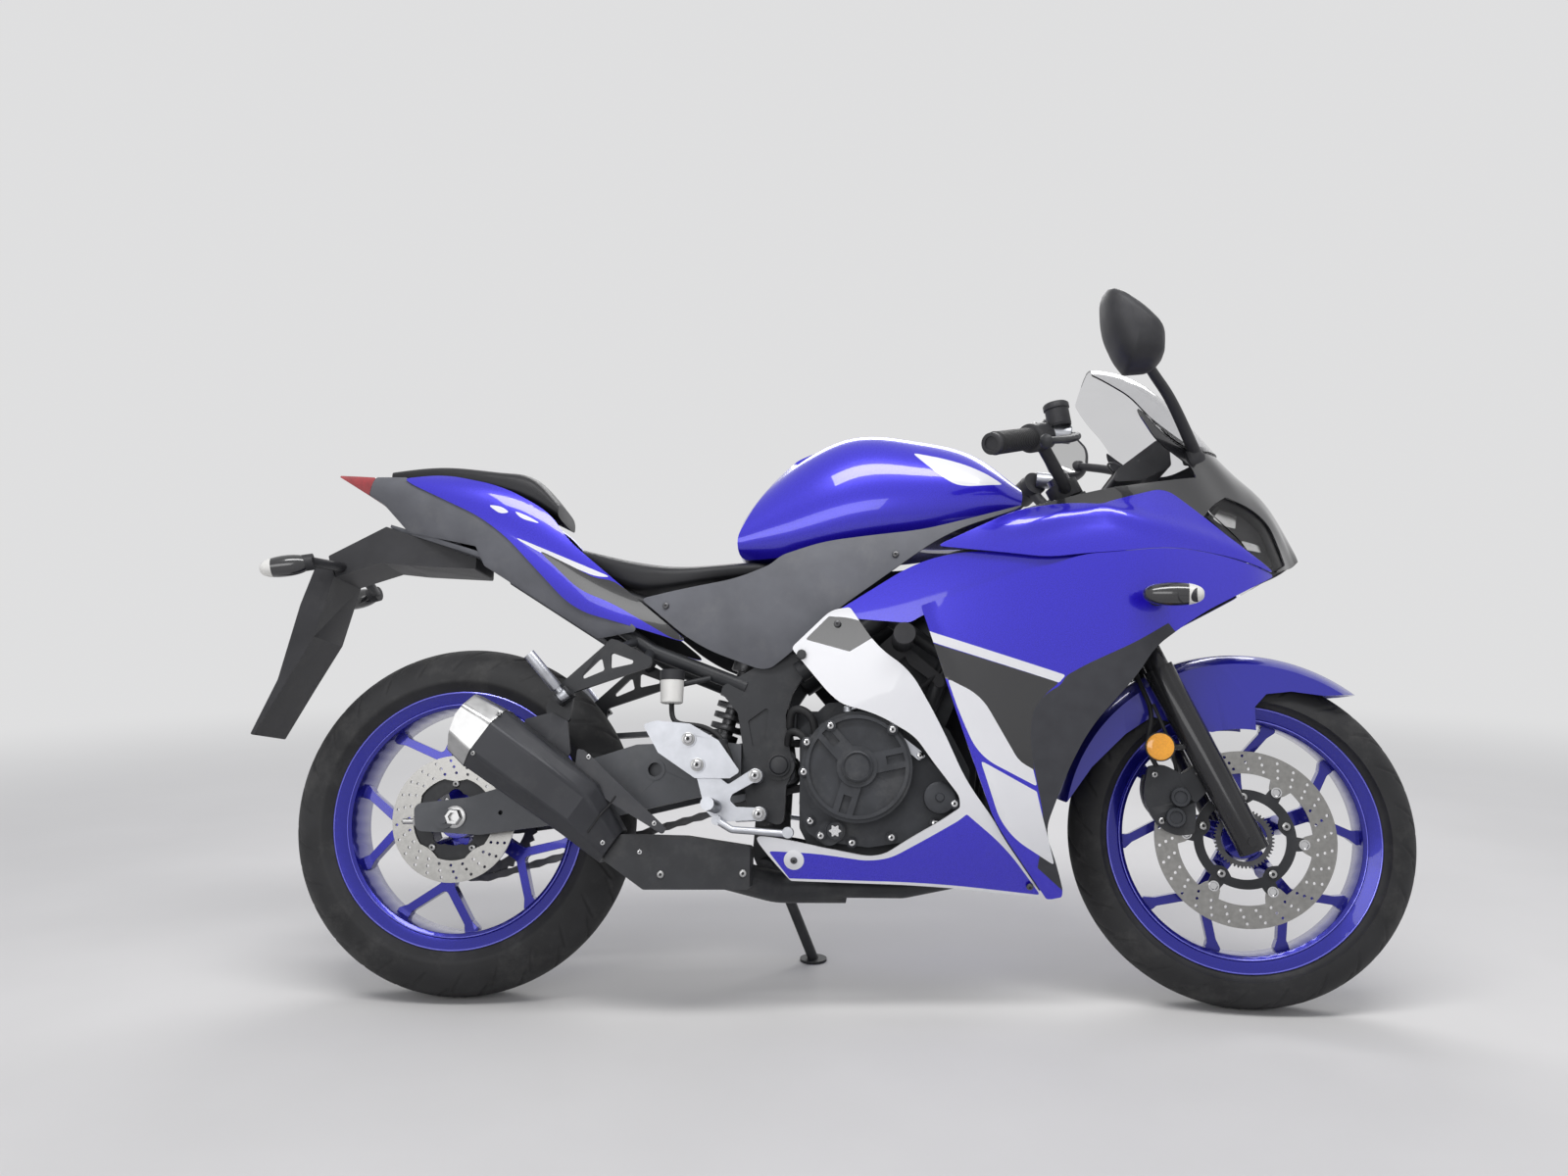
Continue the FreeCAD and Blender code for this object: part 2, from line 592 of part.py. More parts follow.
def make_frame():
    """Steel frame: head tube, side tubes, pivot plates, seat rails and the stand's bracket."""
    pieces = []
    side = [
        tube([steer_point(880.0, 0.0, 24.0), Vector(960, 98, 800), Vector(760, 116, 668),
              Vector(610, PLATE_Y, 566)], FRAME_TUBE_R, 60.0),
        tube([DOWN_TUBE[0], DOWN_TUBE[1], Vector(880, 114, 610),
              Vector(832, 116, 500)], FRAME_TUBE_R - 4.0, 60.0),
        rod(Vector(960, 98, 800), Vector(960, 112, 682), RAIL_R),
        rod(Vector(760, 116, 668), Vector(868, 114, 596), RAIL_R),
        disc_between(Vector(836, 0, 512), 11.0, BARREL_HALF + COVER_GAP, 116.0),
        side_prism([(601, 600), (628, 572), (600, 530), (588, 490), (596, 430), (606, 405), (590, 370),
                    (586, 300), (522, 326), (517, 423), (505, 495), (470, 537), (540, 578)],
                   PLATE_Y - PLATE_THICK / 2, PLATE_Y + PLATE_THICK / 2, 12.0),
        tube([Vector(640, PLATE_Y, 586), Vector(430, 104, 658), Vector(200, 80, 742), Vector(-90, 58, 866)],
             RAIL_R, 80.0),
        lower_rail(RAIL_R),
        rod(Vector(960, 92, 800), Vector(960, 92, 840.0), 10.0),
        stay_to_skin(Vector(868, 106, 739), 8.0, PANEL_WALL - DUCT_STEP + LAP_GAP),
        stay_to_skin(Vector(618, PLATE_Y, 588), 8.0, PANEL_WALL - BELLY_STEP + LAP_GAP),
        stay_to_skin(Vector(560, 112, 613), 8.0, PANEL_WALL + LAP_GAP, COVER_FORM),
        disc_between(Vector(PIVOT_X, 0, PIVOT_Z), 26.0, PLATE_Y, PLATE_Y + PLATE_THICK / 2 + PIVOT_RIM),
        passenger_peg_arm(),
    ]
    for piece in side:
        pieces.extend(both_sides(piece))
    head_low = steer_point(AXLE_ALONG + LOWER_CLAMP + CLAMP_THICK + HEAD_GAP)
    head_high = steer_point(AXLE_ALONG + UPPER_CLAMP - HEAD_GAP)
    pieces.append(rod(head_low, head_high, HEAD_TUBE_R))
    for x, y, z in ((-60, 60, 853), (200, 80, 742), (SHOCK_TUBE_X, 108, SHOCK_TUBE_Z), (556, PLATE_Y, 560),
                    (550, PLATE_Y, 316)):
        pieces.append(rod(Vector(x, -y, z), Vector(x, y, z), RAIL_R))
    pivot = Vector(*STAND_PIVOT)
    pieces.append(side_prism([(586, 330), (590, 250), (565, 222), (528, 222), (516, 250), (522, 330)],
                             PLATE_Y - 22.0, PLATE_Y - 13.0, 8.0))
    axis = Vector(*STAND_AXIS)
    axis.normalize()
    pieces.append(rod(pivot - axis * 18.0, pivot + axis * 8.0, 15.0))
    pieces.append(rod(pivot, pivot + axis * 34.0, STAND_PIN_R))
    whole = fused(pieces)
    whole = whole.cut(rod(head_low - STEER_DIR * 40, head_high + STEER_DIR * 40, STEM_R + STEM_GAP))
    pocket = side_prism([(523, 481), (559, 507), (554, 449), (532, 435)], PLATE_Y + PLATE_THICK / 2 - 4.0,
                        PLATE_Y + PLATE_THICK, 4.0)
    whole = whole.cut(pocket).cut(mirrored(pocket))
    pivot_bore = disc_between(Vector(PIVOT_X, 0, PIVOT_Z), PIVOT_R, -150.0, 150.0)
    return whole.cut(pivot_bore)


def passenger_peg_arm():
    """Forged lattice under the left seat rail, with the passenger peg's clevis."""
    web = side_prism([(283, 622), (297, 618), (359, 587), (352, 572), (222, 528), (217, 481), (200, 463),
                      (177, 480), (174, 504), (194, 539), (271, 609)], PEG_ARM_IN, PEG_ARM_OUT, 7.0)
    for gap in ([(222, 544), (268, 590), (274, 566)], [(284, 569), (284, 598), (334, 580)]):
        web = web.cut(side_prism(gap, PEG_ARM_IN - 1.0, PEG_ARM_OUT + 1.0, 4.0))
    ties = [rod(Vector(300, PEG_ARM_IN + 2.0, 606), Vector(322, 101, 625), 8.0),
            rod(Vector(346, PEG_ARM_IN + 2.0, 583), Vector(346, 106, 604), 9.0)]
    return fused([web, mirrored(peg_clevis())] + ties)


def make_swingarm():
    """Two box arms, cross members, pivot shaft, axle and the chain guard."""
    arm = side_prism([(PIVOT_X + 26, PIVOT_Z + 26), (PIVOT_X + 26, PIVOT_Z - 26), (470, 358), (300, 318),
                      (60, 284), (-52, 290), (-58, 336), (40, 348), (180, 392), (330, 440), (470, 446)],
                     ARM_Y - ARM_THICK / 2, ARM_Y + ARM_THICK / 2, 14.0)
    arm = arm.cut(side_prism([(620, PIVOT_Z + 40), (620, PIVOT_Z - 60), (512, PIVOT_Z - 60),
                              (512, PIVOT_Z + 60)], PLATE_Y - PLATE_THICK / 2 - 1.0, 200.0))
    pieces = both_sides(arm)
    inner_y = PLATE_Y - PLATE_THICK / 2 - 1.0
    pieces.append(disc_between(Vector(PIVOT_X, 0, PIVOT_Z), 27.0, -inner_y, inner_y))
    cap_y = PLATE_Y + PLATE_THICK / 2 + PIVOT_RIM + COVER_GAP
    pieces.append(disc_between(Vector(PIVOT_X, 0, PIVOT_Z), PIVOT_R - 0.3, -cap_y - 1.0, cap_y + 1.0))
    pieces.extend(both_sides(disc_between(Vector(PIVOT_X, 0, PIVOT_Z), PIVOT_CAP_R, cap_y, cap_y + 6.0)))
    hole_at = Vector(ARM_HOLE[0], 0, ARM_HOLE[1])
    pieces.extend(both_sides(disc_between(hole_at, ARM_HOLE_R + 6.0, ARM_Y, ARM_Y + ARM_THICK / 2 + 2.0)))
    pieces.append(rod(Vector(420, -ARM_Y, 408), Vector(420, ARM_Y, 408), 24.0))
    pieces.append(rod(Vector(500, -ARM_Y + 7, 405), Vector(500, ARM_Y - 7, 405), 20.0))
    tab = side_prism([(424, 420), (500, 412), (474, 450), (450, 450)], SHOCK_EYE_HALF + COVER_GAP,
                     SHOCK_EYE_HALF + 7.0, 8.0)
    pieces.extend(both_sides(tab))
    pieces.append(disc_between(REAR_AXLE, AXLE_R, -ARM_Y - 24.0, ARM_Y + 24.0))
    pieces.append(disc_between(REAR_AXLE, 15.0, REAR_HUB_HALF + 36.0, ARM_Y))
    pieces.append(disc_between(REAR_AXLE, 15.0, -ARM_Y, -REAR_HUB_HALF - 24.0))
    pieces.append(disc_between(REAR_AXLE, 17.0, -ARM_Y - 18.0, -ARM_Y))
    pieces.append(disc_between(REAR_AXLE, 17.0, ARM_Y, ARM_Y + 18.0))
    guard = side_prism([(60, 452), (330, 470), (520, 478), (520, 486), (326, 479), (56, 462)],
                       CHAIN_Y - 16.0, CHAIN_Y + 15.0)
    pieces.append(guard)
    pieces.append(side_prism([(330, 430), (350, 430), (350, 476), (330, 474)], ARM_Y - 8.0, ARM_Y - 4.0))
    whole = fused(pieces)
    whole = whole.cut(disc_between(hole_at, ARM_HOLE_R, ARM_Y - 4.0, ARM_Y + ARM_THICK))
    whole = whole.cut(disc_between(hole_at, ARM_HOLE_R, -ARM_Y - ARM_THICK, -ARM_Y + 4.0))
    for y0 in (-ARM_Y - ARM_THICK / 2, ARM_Y + ARM_THICK / 2 - SPOOL_DEPTH):
        whole = whole.cut(disc_between(Vector(SPOOL_X, 0, SPOOL_Z), SPOOL_R, y0, y0 + SPOOL_DEPTH))
    return whole


def make_engine():
    """Crankcases, sump, forward-leaning cylinders, head and cam cover; plain inside."""
    case = side_prism([(612, 300), (612, 470), (660, 515), (770, 520), (870, 470), (905, 400), (898, 310),
                       (850, 252), (640, 246)], -CASE_HALF, CASE_HALF, 18.0)
    lugs = side_prism([(560, 474), (606, 468), (606, 504), (560, 500)],
                      -PLATE_Y + PLATE_THICK / 2 + COVER_GAP, PLATE_Y - PLATE_THICK / 2 - COVER_GAP, 4.0)
    neck = side_prism([(590, 470), (660, 470), (660, 502), (590, 502)], -CASE_HALF + 20, CASE_HALF - 40)
    sump = side_prism([(650, 250), (840, 256), (824, 233), (690, 231)], -70.0, 80.0, 8.0)
    stay = disc_between(Vector(846, 0, 264), 8.0, CASE_HALF - 10, 300.0)
    stay = stay.common(half_body(BODY_FORM, PANEL_WALL - BELLY_STEP + LAP_GAP))
    cylinders = side_prism([(735, 500), (860, 462), (932, 626), (812, 680)], -BARREL_HALF, BARREL_HALF, 6.0)
    head = side_prism([(812, 672), (938, 622), (962, 690), (838, 742)], -HEAD_HALF, HEAD_HALF, 8.0)
    cover = side_prism([(842, 728), (960, 682), (972, 716), (950, 742), (876, 766), (852, 756)],
                       -BARREL_HALF, BARREL_HALF, 10.0)
    whole = fused([case, lugs, neck, sump, cylinders, head, cover] + both_sides(stay))
    inner = CHAIN_Y - CHAIN_WIDTH / 2 - 5.0
    pocket = side_prism([(540, 356), (716, 356), (716, 512), (540, 512)], inner, 160.0)
    sprocket = Vector(FRONT_SPROCKET_X, 0, FRONT_SPROCKET_Z)
    shaft = disc_between(sprocket, 11.0, inner - 1.0, CHAIN_Y + 6.0)
    web = (pitch_radius(FRONT_TEETH) + CHAIN_WEB) * math.cos(math.pi / FRONT_TEETH)
    wheel = disc_between(sprocket, web - COVER_GAP,
                         CHAIN_Y - SPROCKET_THICK / 2, CHAIN_Y + SPROCKET_THICK / 2)
    return fused([whole.cut(pocket), shaft, wheel])


def make_engine_covers():
    """Right: clutch cover with its raised ring and three ribs. Left: generator and sprocket covers."""
    clutch = Vector(711, 0, 401)
    base = side_prism([(613, 340), (617, 440), (648, 476), (705, 492), (774, 474), (825, 424), (868, 379),
                       (888, 334), (862, 310), (800, 280), (730, 269), (648, 279), (626, 294)],
                      -140.0, -CASE_HALF - COVER_GAP, 12.0)
    drum = disc_between(clutch, 92.0, -180.0, -139.0)
    ring = turned([(86.0, -188.0), (86.0, -180.0), (80.0, -180.0), (80.0, -188.0)], clutch)
    boss = disc_between(clutch, 34.0, -190.0, -180.0)
    pieces = [base, drum, ring, boss]
    for angle in (12.0, 132.0, 252.0):
        rib = arm_prism(clutch, angle, 30.0, 82.0, 34.0, -188.0, -179.0)
        pieces.append(rib.cut(arm_prism(clutch, angle, 50.0, 90.0, 14.0, -189.0, -181.0)))
    pieces.append(rod(Vector(700, -158, 440), Vector(697, -158, 496), 9.0))
    pump = disc_between(Vector(848, 0, 352), 26.0, -162.0, -139.0)
    filler = disc_between(Vector(664, 0, 292), 20.0, -156.0, -139.0)
    right = fused(pieces + [pump, filler])
    generator = disc_between(Vector(772, 0, 388), 84.0, 117.0, 168.0)
    plate = side_prism([(724, 490), (830, 470), (868, 400), (860, 320), (780, 276), (690, 300), (724, 340)],
                       CASE_HALF + COVER_GAP, 118.0, 16.0)
    sprocket_cover = side_prism([(612, 476), (700, 486), (700, 362), (640, 344), (612, 366)],
                                CASE_HALF + COVER_GAP, 146.0, 20.0)
    sprocket_cover = sprocket_cover.cut(side_prism([(560, 470), (640, 474), (694, 440), (640, 372), (560, 372)],
                                                   90.0, CHAIN_Y + CHAIN_WIDTH / 2 + CHAIN_ROOM))
    left = fused([generator, plate, sprocket_cover])
    return Part.makeCompound([right, left])


def make_radiator():
    """Core, side tanks, fan ring and hose, leaning with the front of the engine."""
    low, high = Vector(1000, 0, 440), Vector(1050, 0, 668)
    up = high - low
    up.normalize()
    ahead = up.cross(Y_AXIS) * -1.0
    core_low = low - ahead * 12.0
    points = [core_low - Y_AXIS * 140, core_low + Y_AXIS * 140,
              core_low + up * 225 + Y_AXIS * 140, core_low + up * 225 - Y_AXIS * 140]
    core = free_prism(points, 6.0, ahead * 26.0)
    fan_centre = low + up * 112.0 - ahead * 33.0
    fan = Part.makeCylinder(84.0, 22.0, fan_centre, ahead)
    face = Vector(955, 76, 670)
    out = Vector(0.943, 0, -0.333)
    hose = tube([low + up * 206 + Y_AXIS * 76 - ahead * 6, low + up * 206 + Y_AXIS * 76 - ahead * 34,
                 face + out * 30.0, face + out * COVER_GAP], 12.0, 16.0)
    down_tube = rod(*DOWN_TUBE, FRAME_TUBE_R - 4.0 + COVER_GAP)
    stay = rod(Vector(1052, 70, 650), Vector(1052, 70, 720), 6.0).cut(down_tube)
    stay = min(stay.Solids, key=lambda solid: solid.CenterOfMass.z)
    return fused([core, fan, hose] + both_sides(stay))


def make_exhaust_pipe():
    """Two header pipes that run down and under the engine into the collecting box."""
    pieces = []
    for y in (-42.0, 42.0):
        pieces.append(tube([Vector(950.4, y, 655.9), Vector(973, y, 647.9), Vector(950, y, 420),
                            Vector(926, y, 226), Vector(790, y * 0.9, 198), Vector(640, -20 + y * 0.5, 198)],
                           17.0, 40.0))
    pieces.append(tube([Vector(690, -24, 198), Vector(570, -40, 198), Vector(470, -112, 228)], 27.0, 60.0))
    pieces.append(side_prism([(533, 200), (356, 198), (286, 246), (316, 288), (420, 286), (533, 270)],
                             CHAMBER_OUTER, CHAMBER_INNER, 6.0))
    return fused(pieces)


def muffler_section(centre, along, width, height, corner):
    """A rounded four-sided wire across the muffler's axis."""
    axis = Vector(along)
    axis.normalize()
    up = Y_AXIS.cross(axis) * -1.0
    up = up * math.copysign(1.0, up.z)
    w, h = width / 2.0, height / 2.0
    points = [centre + Y_AXIS * w + up * h * 0.5, centre + Y_AXIS * w * 0.55 + up * h,
              centre - Y_AXIS * w * 0.55 + up * h, centre - Y_AXIS * w + up * h * 0.5,
              centre - Y_AXIS * w - up * h * 0.5, centre - Y_AXIS * w * 0.55 - up * h,
              centre + Y_AXIS * w * 0.55 - up * h, centre + Y_AXIS * w - up * h * 0.5]
    return Part.Wire(rounded_edges(points, corner, True))


MUFFLER_FRONT = Vector(300.4, -150, 267.5)
MUFFLER_WAIST = Vector(252, -186, 329)
MUFFLER_REAR = Vector(94, -204, 442)


def make_muffler():
    along = MUFFLER_REAR - MUFFLER_WAIST
    wires = [muffler_section(MUFFLER_FRONT, along, 76.0, 66.0, 8.0),
             muffler_section(MUFFLER_WAIST, along, 98.0, 100.0, 10.0),
             muffler_section(MUFFLER_REAR, along, 106.0, 112.0, 12.0)]
    body = Part.makeLoft(wires, True, True)
    hanger = side_prism([(138, 480), (186, 492), (214, 478), (222, 422), (200, 400), (150, 440)],
                        -PEG_ARM_OUT - 6.5, -PEG_ARM_OUT - 0.5, 6.0)
    guard = side_prism([(242, 428), (253, 426), (269, 412), (396, 298), (390, 288), (301, 340), (270, 362),
                        (240, 400)], -197.0, -192.0, 4.0)
    return fused([body, hanger, guard])


def make_muffler_cap():
    """Slant-cut metal cap with its outlet."""
    along = MUFFLER_REAR - MUFFLER_WAIST
    step = Vector(along)
    step.normalize()
    start = MUFFLER_REAR + step * 0.3
    end = start + step * 58.0
    wires = [muffler_section(start, along, 108.0, 114.0, 12.0), muffler_section(end, along, 92.0, 98.0, 12.0)]
    cap = Part.makeLoft(wires, True, True)
    slant = side_prism([(64, 530), (30, 412), (-60, 412), (-60, 560), (60, 560)], -300.0, -100.0)
    cap = cap.cut(slant)
    outlet = Part.makeCylinder(19.0, 60.0, end - step * 40.0 - Vector(0, 0, 14), step)
    return cap.cut(outlet)


def make_fuel_tank():
    half = half_body(TANK_FORM)
    whole = half.fuse(mirrored(half)).removeSplitter()
    outline = [(500, 778), (494, 815), (528, 884), (580, 950), (640, 1004), (700, 1024), (760, 1026),
               (836, 1010), (910, 984), (983, 941), (1008, 900), (1002, 852), (900, 830), (826, 815),
               (722, 807), (652, 800), (579, 778)]
    whole = whole.common(side_prism(outline, -200.0, 200.0, 24.0))
    seat = rod(cap_point(-CAP_DEPTH), cap_point(40.0), CAP_R + CAP_GAP)
    neck = rod(cap_point(-NECK_DEPTH), cap_point(40.0), NECK_R)
    room = disc_between(lid_hinge(), LID_KNUCKLE_R + 1.0, -LID_KNUCKLE_HALF - 1.0, LID_KNUCKLE_HALF + 1.0)
    return whole.cut(seat).cut(neck).cut(room)


def cap_normal():
    a = math.radians(CAP_TILT)
    return Vector(math.sin(a), 0, math.cos(a))


def cap_point(height):
    return Vector(CAP_X, 0, CAP_Z) + cap_normal() * height


def lid_hinge():
    a = math.radians(CAP_TILT)
    return cap_point(CAP_RISE) + Vector(math.cos(a), 0, -math.sin(a)) * CAP_R


def make_fuel_lid():
    """Hinged filler lid, seated in the tank's recess, with its lock boss and hinge knuckle."""
    lid = rod(cap_point(-CAP_DEPTH + SEAT_GAP), cap_point(CAP_RISE), CAP_R)
    plug = rod(cap_point(-CAP_DEPTH - PLUG_DEPTH), cap_point(-CAP_DEPTH + 1.0), PLUG_R)
    lock = rod(cap_point(CAP_RISE - 1.0), cap_point(CAP_RISE + 3.0), 13.0)
    knuckle = disc_between(lid_hinge(), LID_KNUCKLE_R, -LID_KNUCKLE_HALF, LID_KNUCKLE_HALF)
    return fused([lid, plug, lock, knuckle])


def make_seat(sections):
    """A cushion's closed form: lofted between cross sections of (x, half width, low z, high z)."""
    wires = []
    for x, width, low, high in sections:
        points = [Vector(x, -width, low), Vector(x, width, low), Vector(x, width * 0.9, high - 6),
                  Vector(x, width * 0.55, high), Vector(x, -width * 0.55, high), Vector(x, -width * 0.9, high - 6)]
        wires.append(Part.Wire(rounded_edges(points, 6.0, True)))
    return Part.makeLoft(wires, True, True)


def make_rider_seat():
    return make_seat([(208, 74, 770, 806), (320, 118, 712.8, 776), (420, 124, 720, 766), (500, 96, 738, 776),
                      (584, 60, 756, 778)])


def make_passenger_seat():
    return make_seat([(-176, 38, 946, 966), (-60, 72, 930, 968), (60, 86, 905, 954), (120, 84, 880, 936),
                      (158, 72, 862, 892)])


# Bodywork

TAIL_BLUE = [(-138, 938), (-119, 925), (20, 857), (74, 817), (206, 681), (300, 653), (421, 616), (297, 717),
             (189, 808), (150, 862), (60, 915), (-60, 944)]
TAIL_GREY = [(-213, 914), (-181, 894), (-128, 838), (13, 803), (30, 767), (249, 629), (330, 640), (300, 662),
             (212, 691), (80, 824), (22, 865), (-119, 932), (-138, 944), (-200, 948)]
LAMP_SIDE = [(-290, 961), (-266, 957), (-200.5, 947.5), (-213.5, 913.5)]
COVER_SIDE = [(329, 696), (431, 611), (540, 571), (561, 571), (598, 598), (664, 661), (756, 725), (867, 804),
              (989, 844), (1000, 852), (900, 828), (826, 811), (722, 803), (652, 796), (579, 772), (560, 754),
              (500, 730), (400, 712)]
# The crease under the upper flank, and the edge of the main panel below the duct
CREASE_HIGH = [(1032, 746), (1092, 753), (1150, 758), (1248, 772), (1350, 764), (1446, 742)]
CREASE_LOW = [(819, 667), (983, 725), (1031, 733), (1092, 753)]
COWL_FLANK = [(846, 770), (989, 836), (1068, 847), (1130, 842), (1147, 853), (1235, 882), (1257, 878),
              (1318, 830), (1400, 766)] + [(x, z + PANEL_GAP) for x, z in reversed(CREASE_HIGH)]
FAIRING_MAIN = CREASE_LOW + CREASE_HIGH[2:] + [
    (1389, 712), (1286, 659), (1205, 601), (1174, 555), (1093, 467), (1053, 390), (1020, 300), (1040, 250),
    (1054, 204), (1053, 191), (1027, 189), (958, 284), (935, 320), (896, 429), (857, 547)]
DUCT_SIDE = [(663, 655), (846, 766), (1032, 756), (1120, 764), (1120, 742), (1031, 719), (983, 711), (819, 652),
             (800, 640), (720, 648)]
BELLY_SIDE = [(600, 600), (668, 664), (700, 668), (745, 600), (800, 560), (850, 470), (890, 380),
              (935, 318), (956, 282), (1024, 188), (836, 207), (599, 213), (561, 255), (536, 288), (591, 281),
              (660, 267), (730, 254), (757, 258), (799, 285), (848, 313), (881, 335), (880, 354), (832, 416),
              (808, 451), (745, 488), (685, 505), (663, 524)]
LAMP_OUTLINE = [(1328, 852), (1366, 892), (1419, 878), (1460, 850), (1490, 766), (1447, 740), (1408, 760),
                (1388, 796)]
NOSE_TOP = [(996, 838), (990, 826), (1068, 837), (1132, 832), (1150, 843), (1237, 871), (1252, 868),
            (1308, 828), (1336, 862), (1369, 884), (1419, 868), (1452, 842), (1480, 769), (1448, 748),
            (1500, 768), (1520, 785), (1504, 856), (1472, 906), (1426, 952), (1380, 996), (1312, 977),
            (1262, 1003), (1214, 1044), (1217, 1028), (1243, 978), (1306, 936), (1314, 914), (1235, 899),
            (1143, 882), (1067, 860)]
SCREEN_SIDE = [(1147, 1122), (1172, 1095), (1203, 1066), (1222, 1038), (1258, 992), (1310, 966), (1374, 980),
               (1402, 990), (1345, 1062), (1255, 1145), (1202, 1190), (1160, 1182)]


def make_tail_covers():
    panel = skin_panel(TAIL_FORM, TAIL_BLUE, 6.0, COWL_STEP)
    return Part.makeCompound(both_sides(panel))


def make_tail_undertray():
    """Grey lower covers and the inner guard above the wheel."""
    panel = skin_panel(TAIL_FORM, TAIL_GREY, 6.0, 0.0)
    guard = side_prism([(-170, 850), (60, 770), (240, 636), (246, 640), (64, 778), (-168, 857)], 0.0, 150.0)
    guard = guard.common(half_body(TAIL_FORM, PANEL_WALL - 1.0))
    half = fused([panel, guard])
    post = rod(Vector(-60, 0, 816), Vector(-60, 0, 853 - RAIL_R - COVER_GAP), 12.0)
    return fused([half, mirrored(half), post])


def make_tail_lamp():
    half = half_body(TAIL_FORM)
    whole = half.fuse(mirrored(half)).removeSplitter()
    return whole.common(side_prism(LAMP_SIDE, -100.0, 100.0, 3.0))


def make_side_covers():
    panel = skin_panel(COVER_FORM, COVER_SIDE, 6.0)
    return Part.makeCompound(both_sides(panel))


def make_front_cowl():
    return Part.makeCompound(both_sides(skin_panel(BODY_FORM, COWL_FLANK, 4.0, COWL_STEP)))


def make_nose_panel():
    """Dark upper nose under the screen and round the lamps."""
    half = skin_panel(BODY_FORM, NOSE_TOP, 3.0)
    return half.fuse(mirrored(half)).removeSplitter()


def make_headlamps():
    lens = skin_panel(BODY_FORM, LAMP_OUTLINE, 5.0, -PANEL_WALL - LAP_GAP, 4.0, 14.0)
    return Part.makeCompound(both_sides(lens))


def make_windscreen():
    half = skin_panel(BODY_FORM, SCREEN_SIDE, 6.0, SCREEN_WALL + LAP_GAP, SCREEN_WALL)
    return half.fuse(mirrored(half)).removeSplitter()


def make_side_fairing():
    """Main panel, the duct floor that lies deeper behind it, and the flange that joins them."""
    main = skin_panel(BODY_FORM, FAIRING_MAIN, 5.0, FAIRING_STEP)
    duct = skin_panel(BODY_FORM, DUCT_SIDE, 5.0, DUCT_STEP)
    lip = CREASE_LOW + [(x, z - 4.0) for x, z in reversed(CREASE_LOW)]
    flange = skin_panel(BODY_FORM, lip, 0.0, FAIRING_STEP - 1.0, FAIRING_STEP - DUCT_STEP)
    boss = disc_between(Vector(690, 0, 652), 8.0, 100.0, 300.0)
    boss = boss.common(half_body(BODY_FORM, -BELLY_STEP + PANEL_WALL + SEAT_GAP))
    boss = boss.cut(half_body(BODY_FORM, 1.0 - DUCT_STEP))
    return fused([main, duct, flange, boss])


def make_belly():
    return Part.makeCompound(both_sides(skin_panel(BODY_FORM, BELLY_SIDE, 8.0, BELLY_STEP)))


def make_instrument_panel():
    """Gauge housing, its stay and the bar that carries the nose."""
    gauge = side_prism([(1176, 921), (1186, 944), (1260, 1000), (1282, 990), (1284, 950), (1230, 924)],
                       -76.0, 76.0, 8.0)
    stay = side_prism([(1100, 806), (1196, 934), (1236, 934), (1150, 788)], -14.0, 14.0)
    stay = stay.cut(rod(steer_point(700.0), steer_point(1100.0), HEAD_TUBE_R + SEAT_GAP))
    bar = side_prism([(1262, 938), (1346, 934), (1346, 922), (1262, 924)], -200.0, 200.0)
    inside = half_body(BODY_FORM, PANEL_WALL + LAP_GAP)
    bar = bar.common(fused([inside, mirrored(inside)]))
    whole = fused([gauge, stay, bar])
    return max(whole.Solids, key=lambda solid: solid.Volume)


def make_indicators():
    """Four turn signals on short stems."""
    front = fused([cone(Vector(1202, -192, 686), Vector(1240, -262, 676), 17.0, 13.0),
                   rod(Vector(1232, -250, 677), Vector(1262, -262, 676), 12.0)])
    front = front.cut(mirrored(half_body(BODY_FORM, -FAIRING_STEP - LAP_GAP)))
    rear = fused([rod(Vector(-250, -48, 773), Vector(-268, -150, 762), 9.0),
                  rod(Vector(-262, -150, 762), Vector(-330, -164, 748), 15.0)])
    rear = rear.cut(side_prism([(-300, 820), (-200, 820), (-200, 730), (-300, 730)],
                               -CARRIER_HALF - COVER_GAP, CARRIER_HALF))
    return Part.makeCompound(both_sides(front) + both_sides(rear))


def make_plate_carrier():
    """Arm, number-plate blade and its light hood, hung from the tail."""
    arm = side_prism([(-279, 794), (-172, 850.2), (4, 789), (4, 768), (-122, 775), (-176, 781), (-267, 752)],
                     -CARRIER_HALF, CARRIER_HALF, 3.0)
    blade = side_prism([(-272, 780), (-300, 770), (-322, 700), (-352, 560), (-394, 460), (-388, 458), (-336, 556),
                        (-290, 640), (-262, 756)], -62.0, 62.0, 3.0)
    whole = fused([arm, blade])
    centre, normal = plate_face()
    for y in (-PLATE_HOLE_Y, PLATE_HOLE_Y):
        mouth = centre + Y_AXIS * y
        whole = whole.cut(rod(mouth + normal, mouth - normal * PLATE_HOLE_DEPTH, PLATE_HOLE_R))
    return whole


def plate_face():
    """Middle of the face that a number plate is bolted to, and its outward normal."""
    (x0, z0), (x1, z1) = PLATE_FACE
    normal = Vector(z1 - z0, 0, x0 - x1)
    normal.normalize()
    return Vector((x0 + x1) / 2, 0, (z0 + z1) / 2), normal


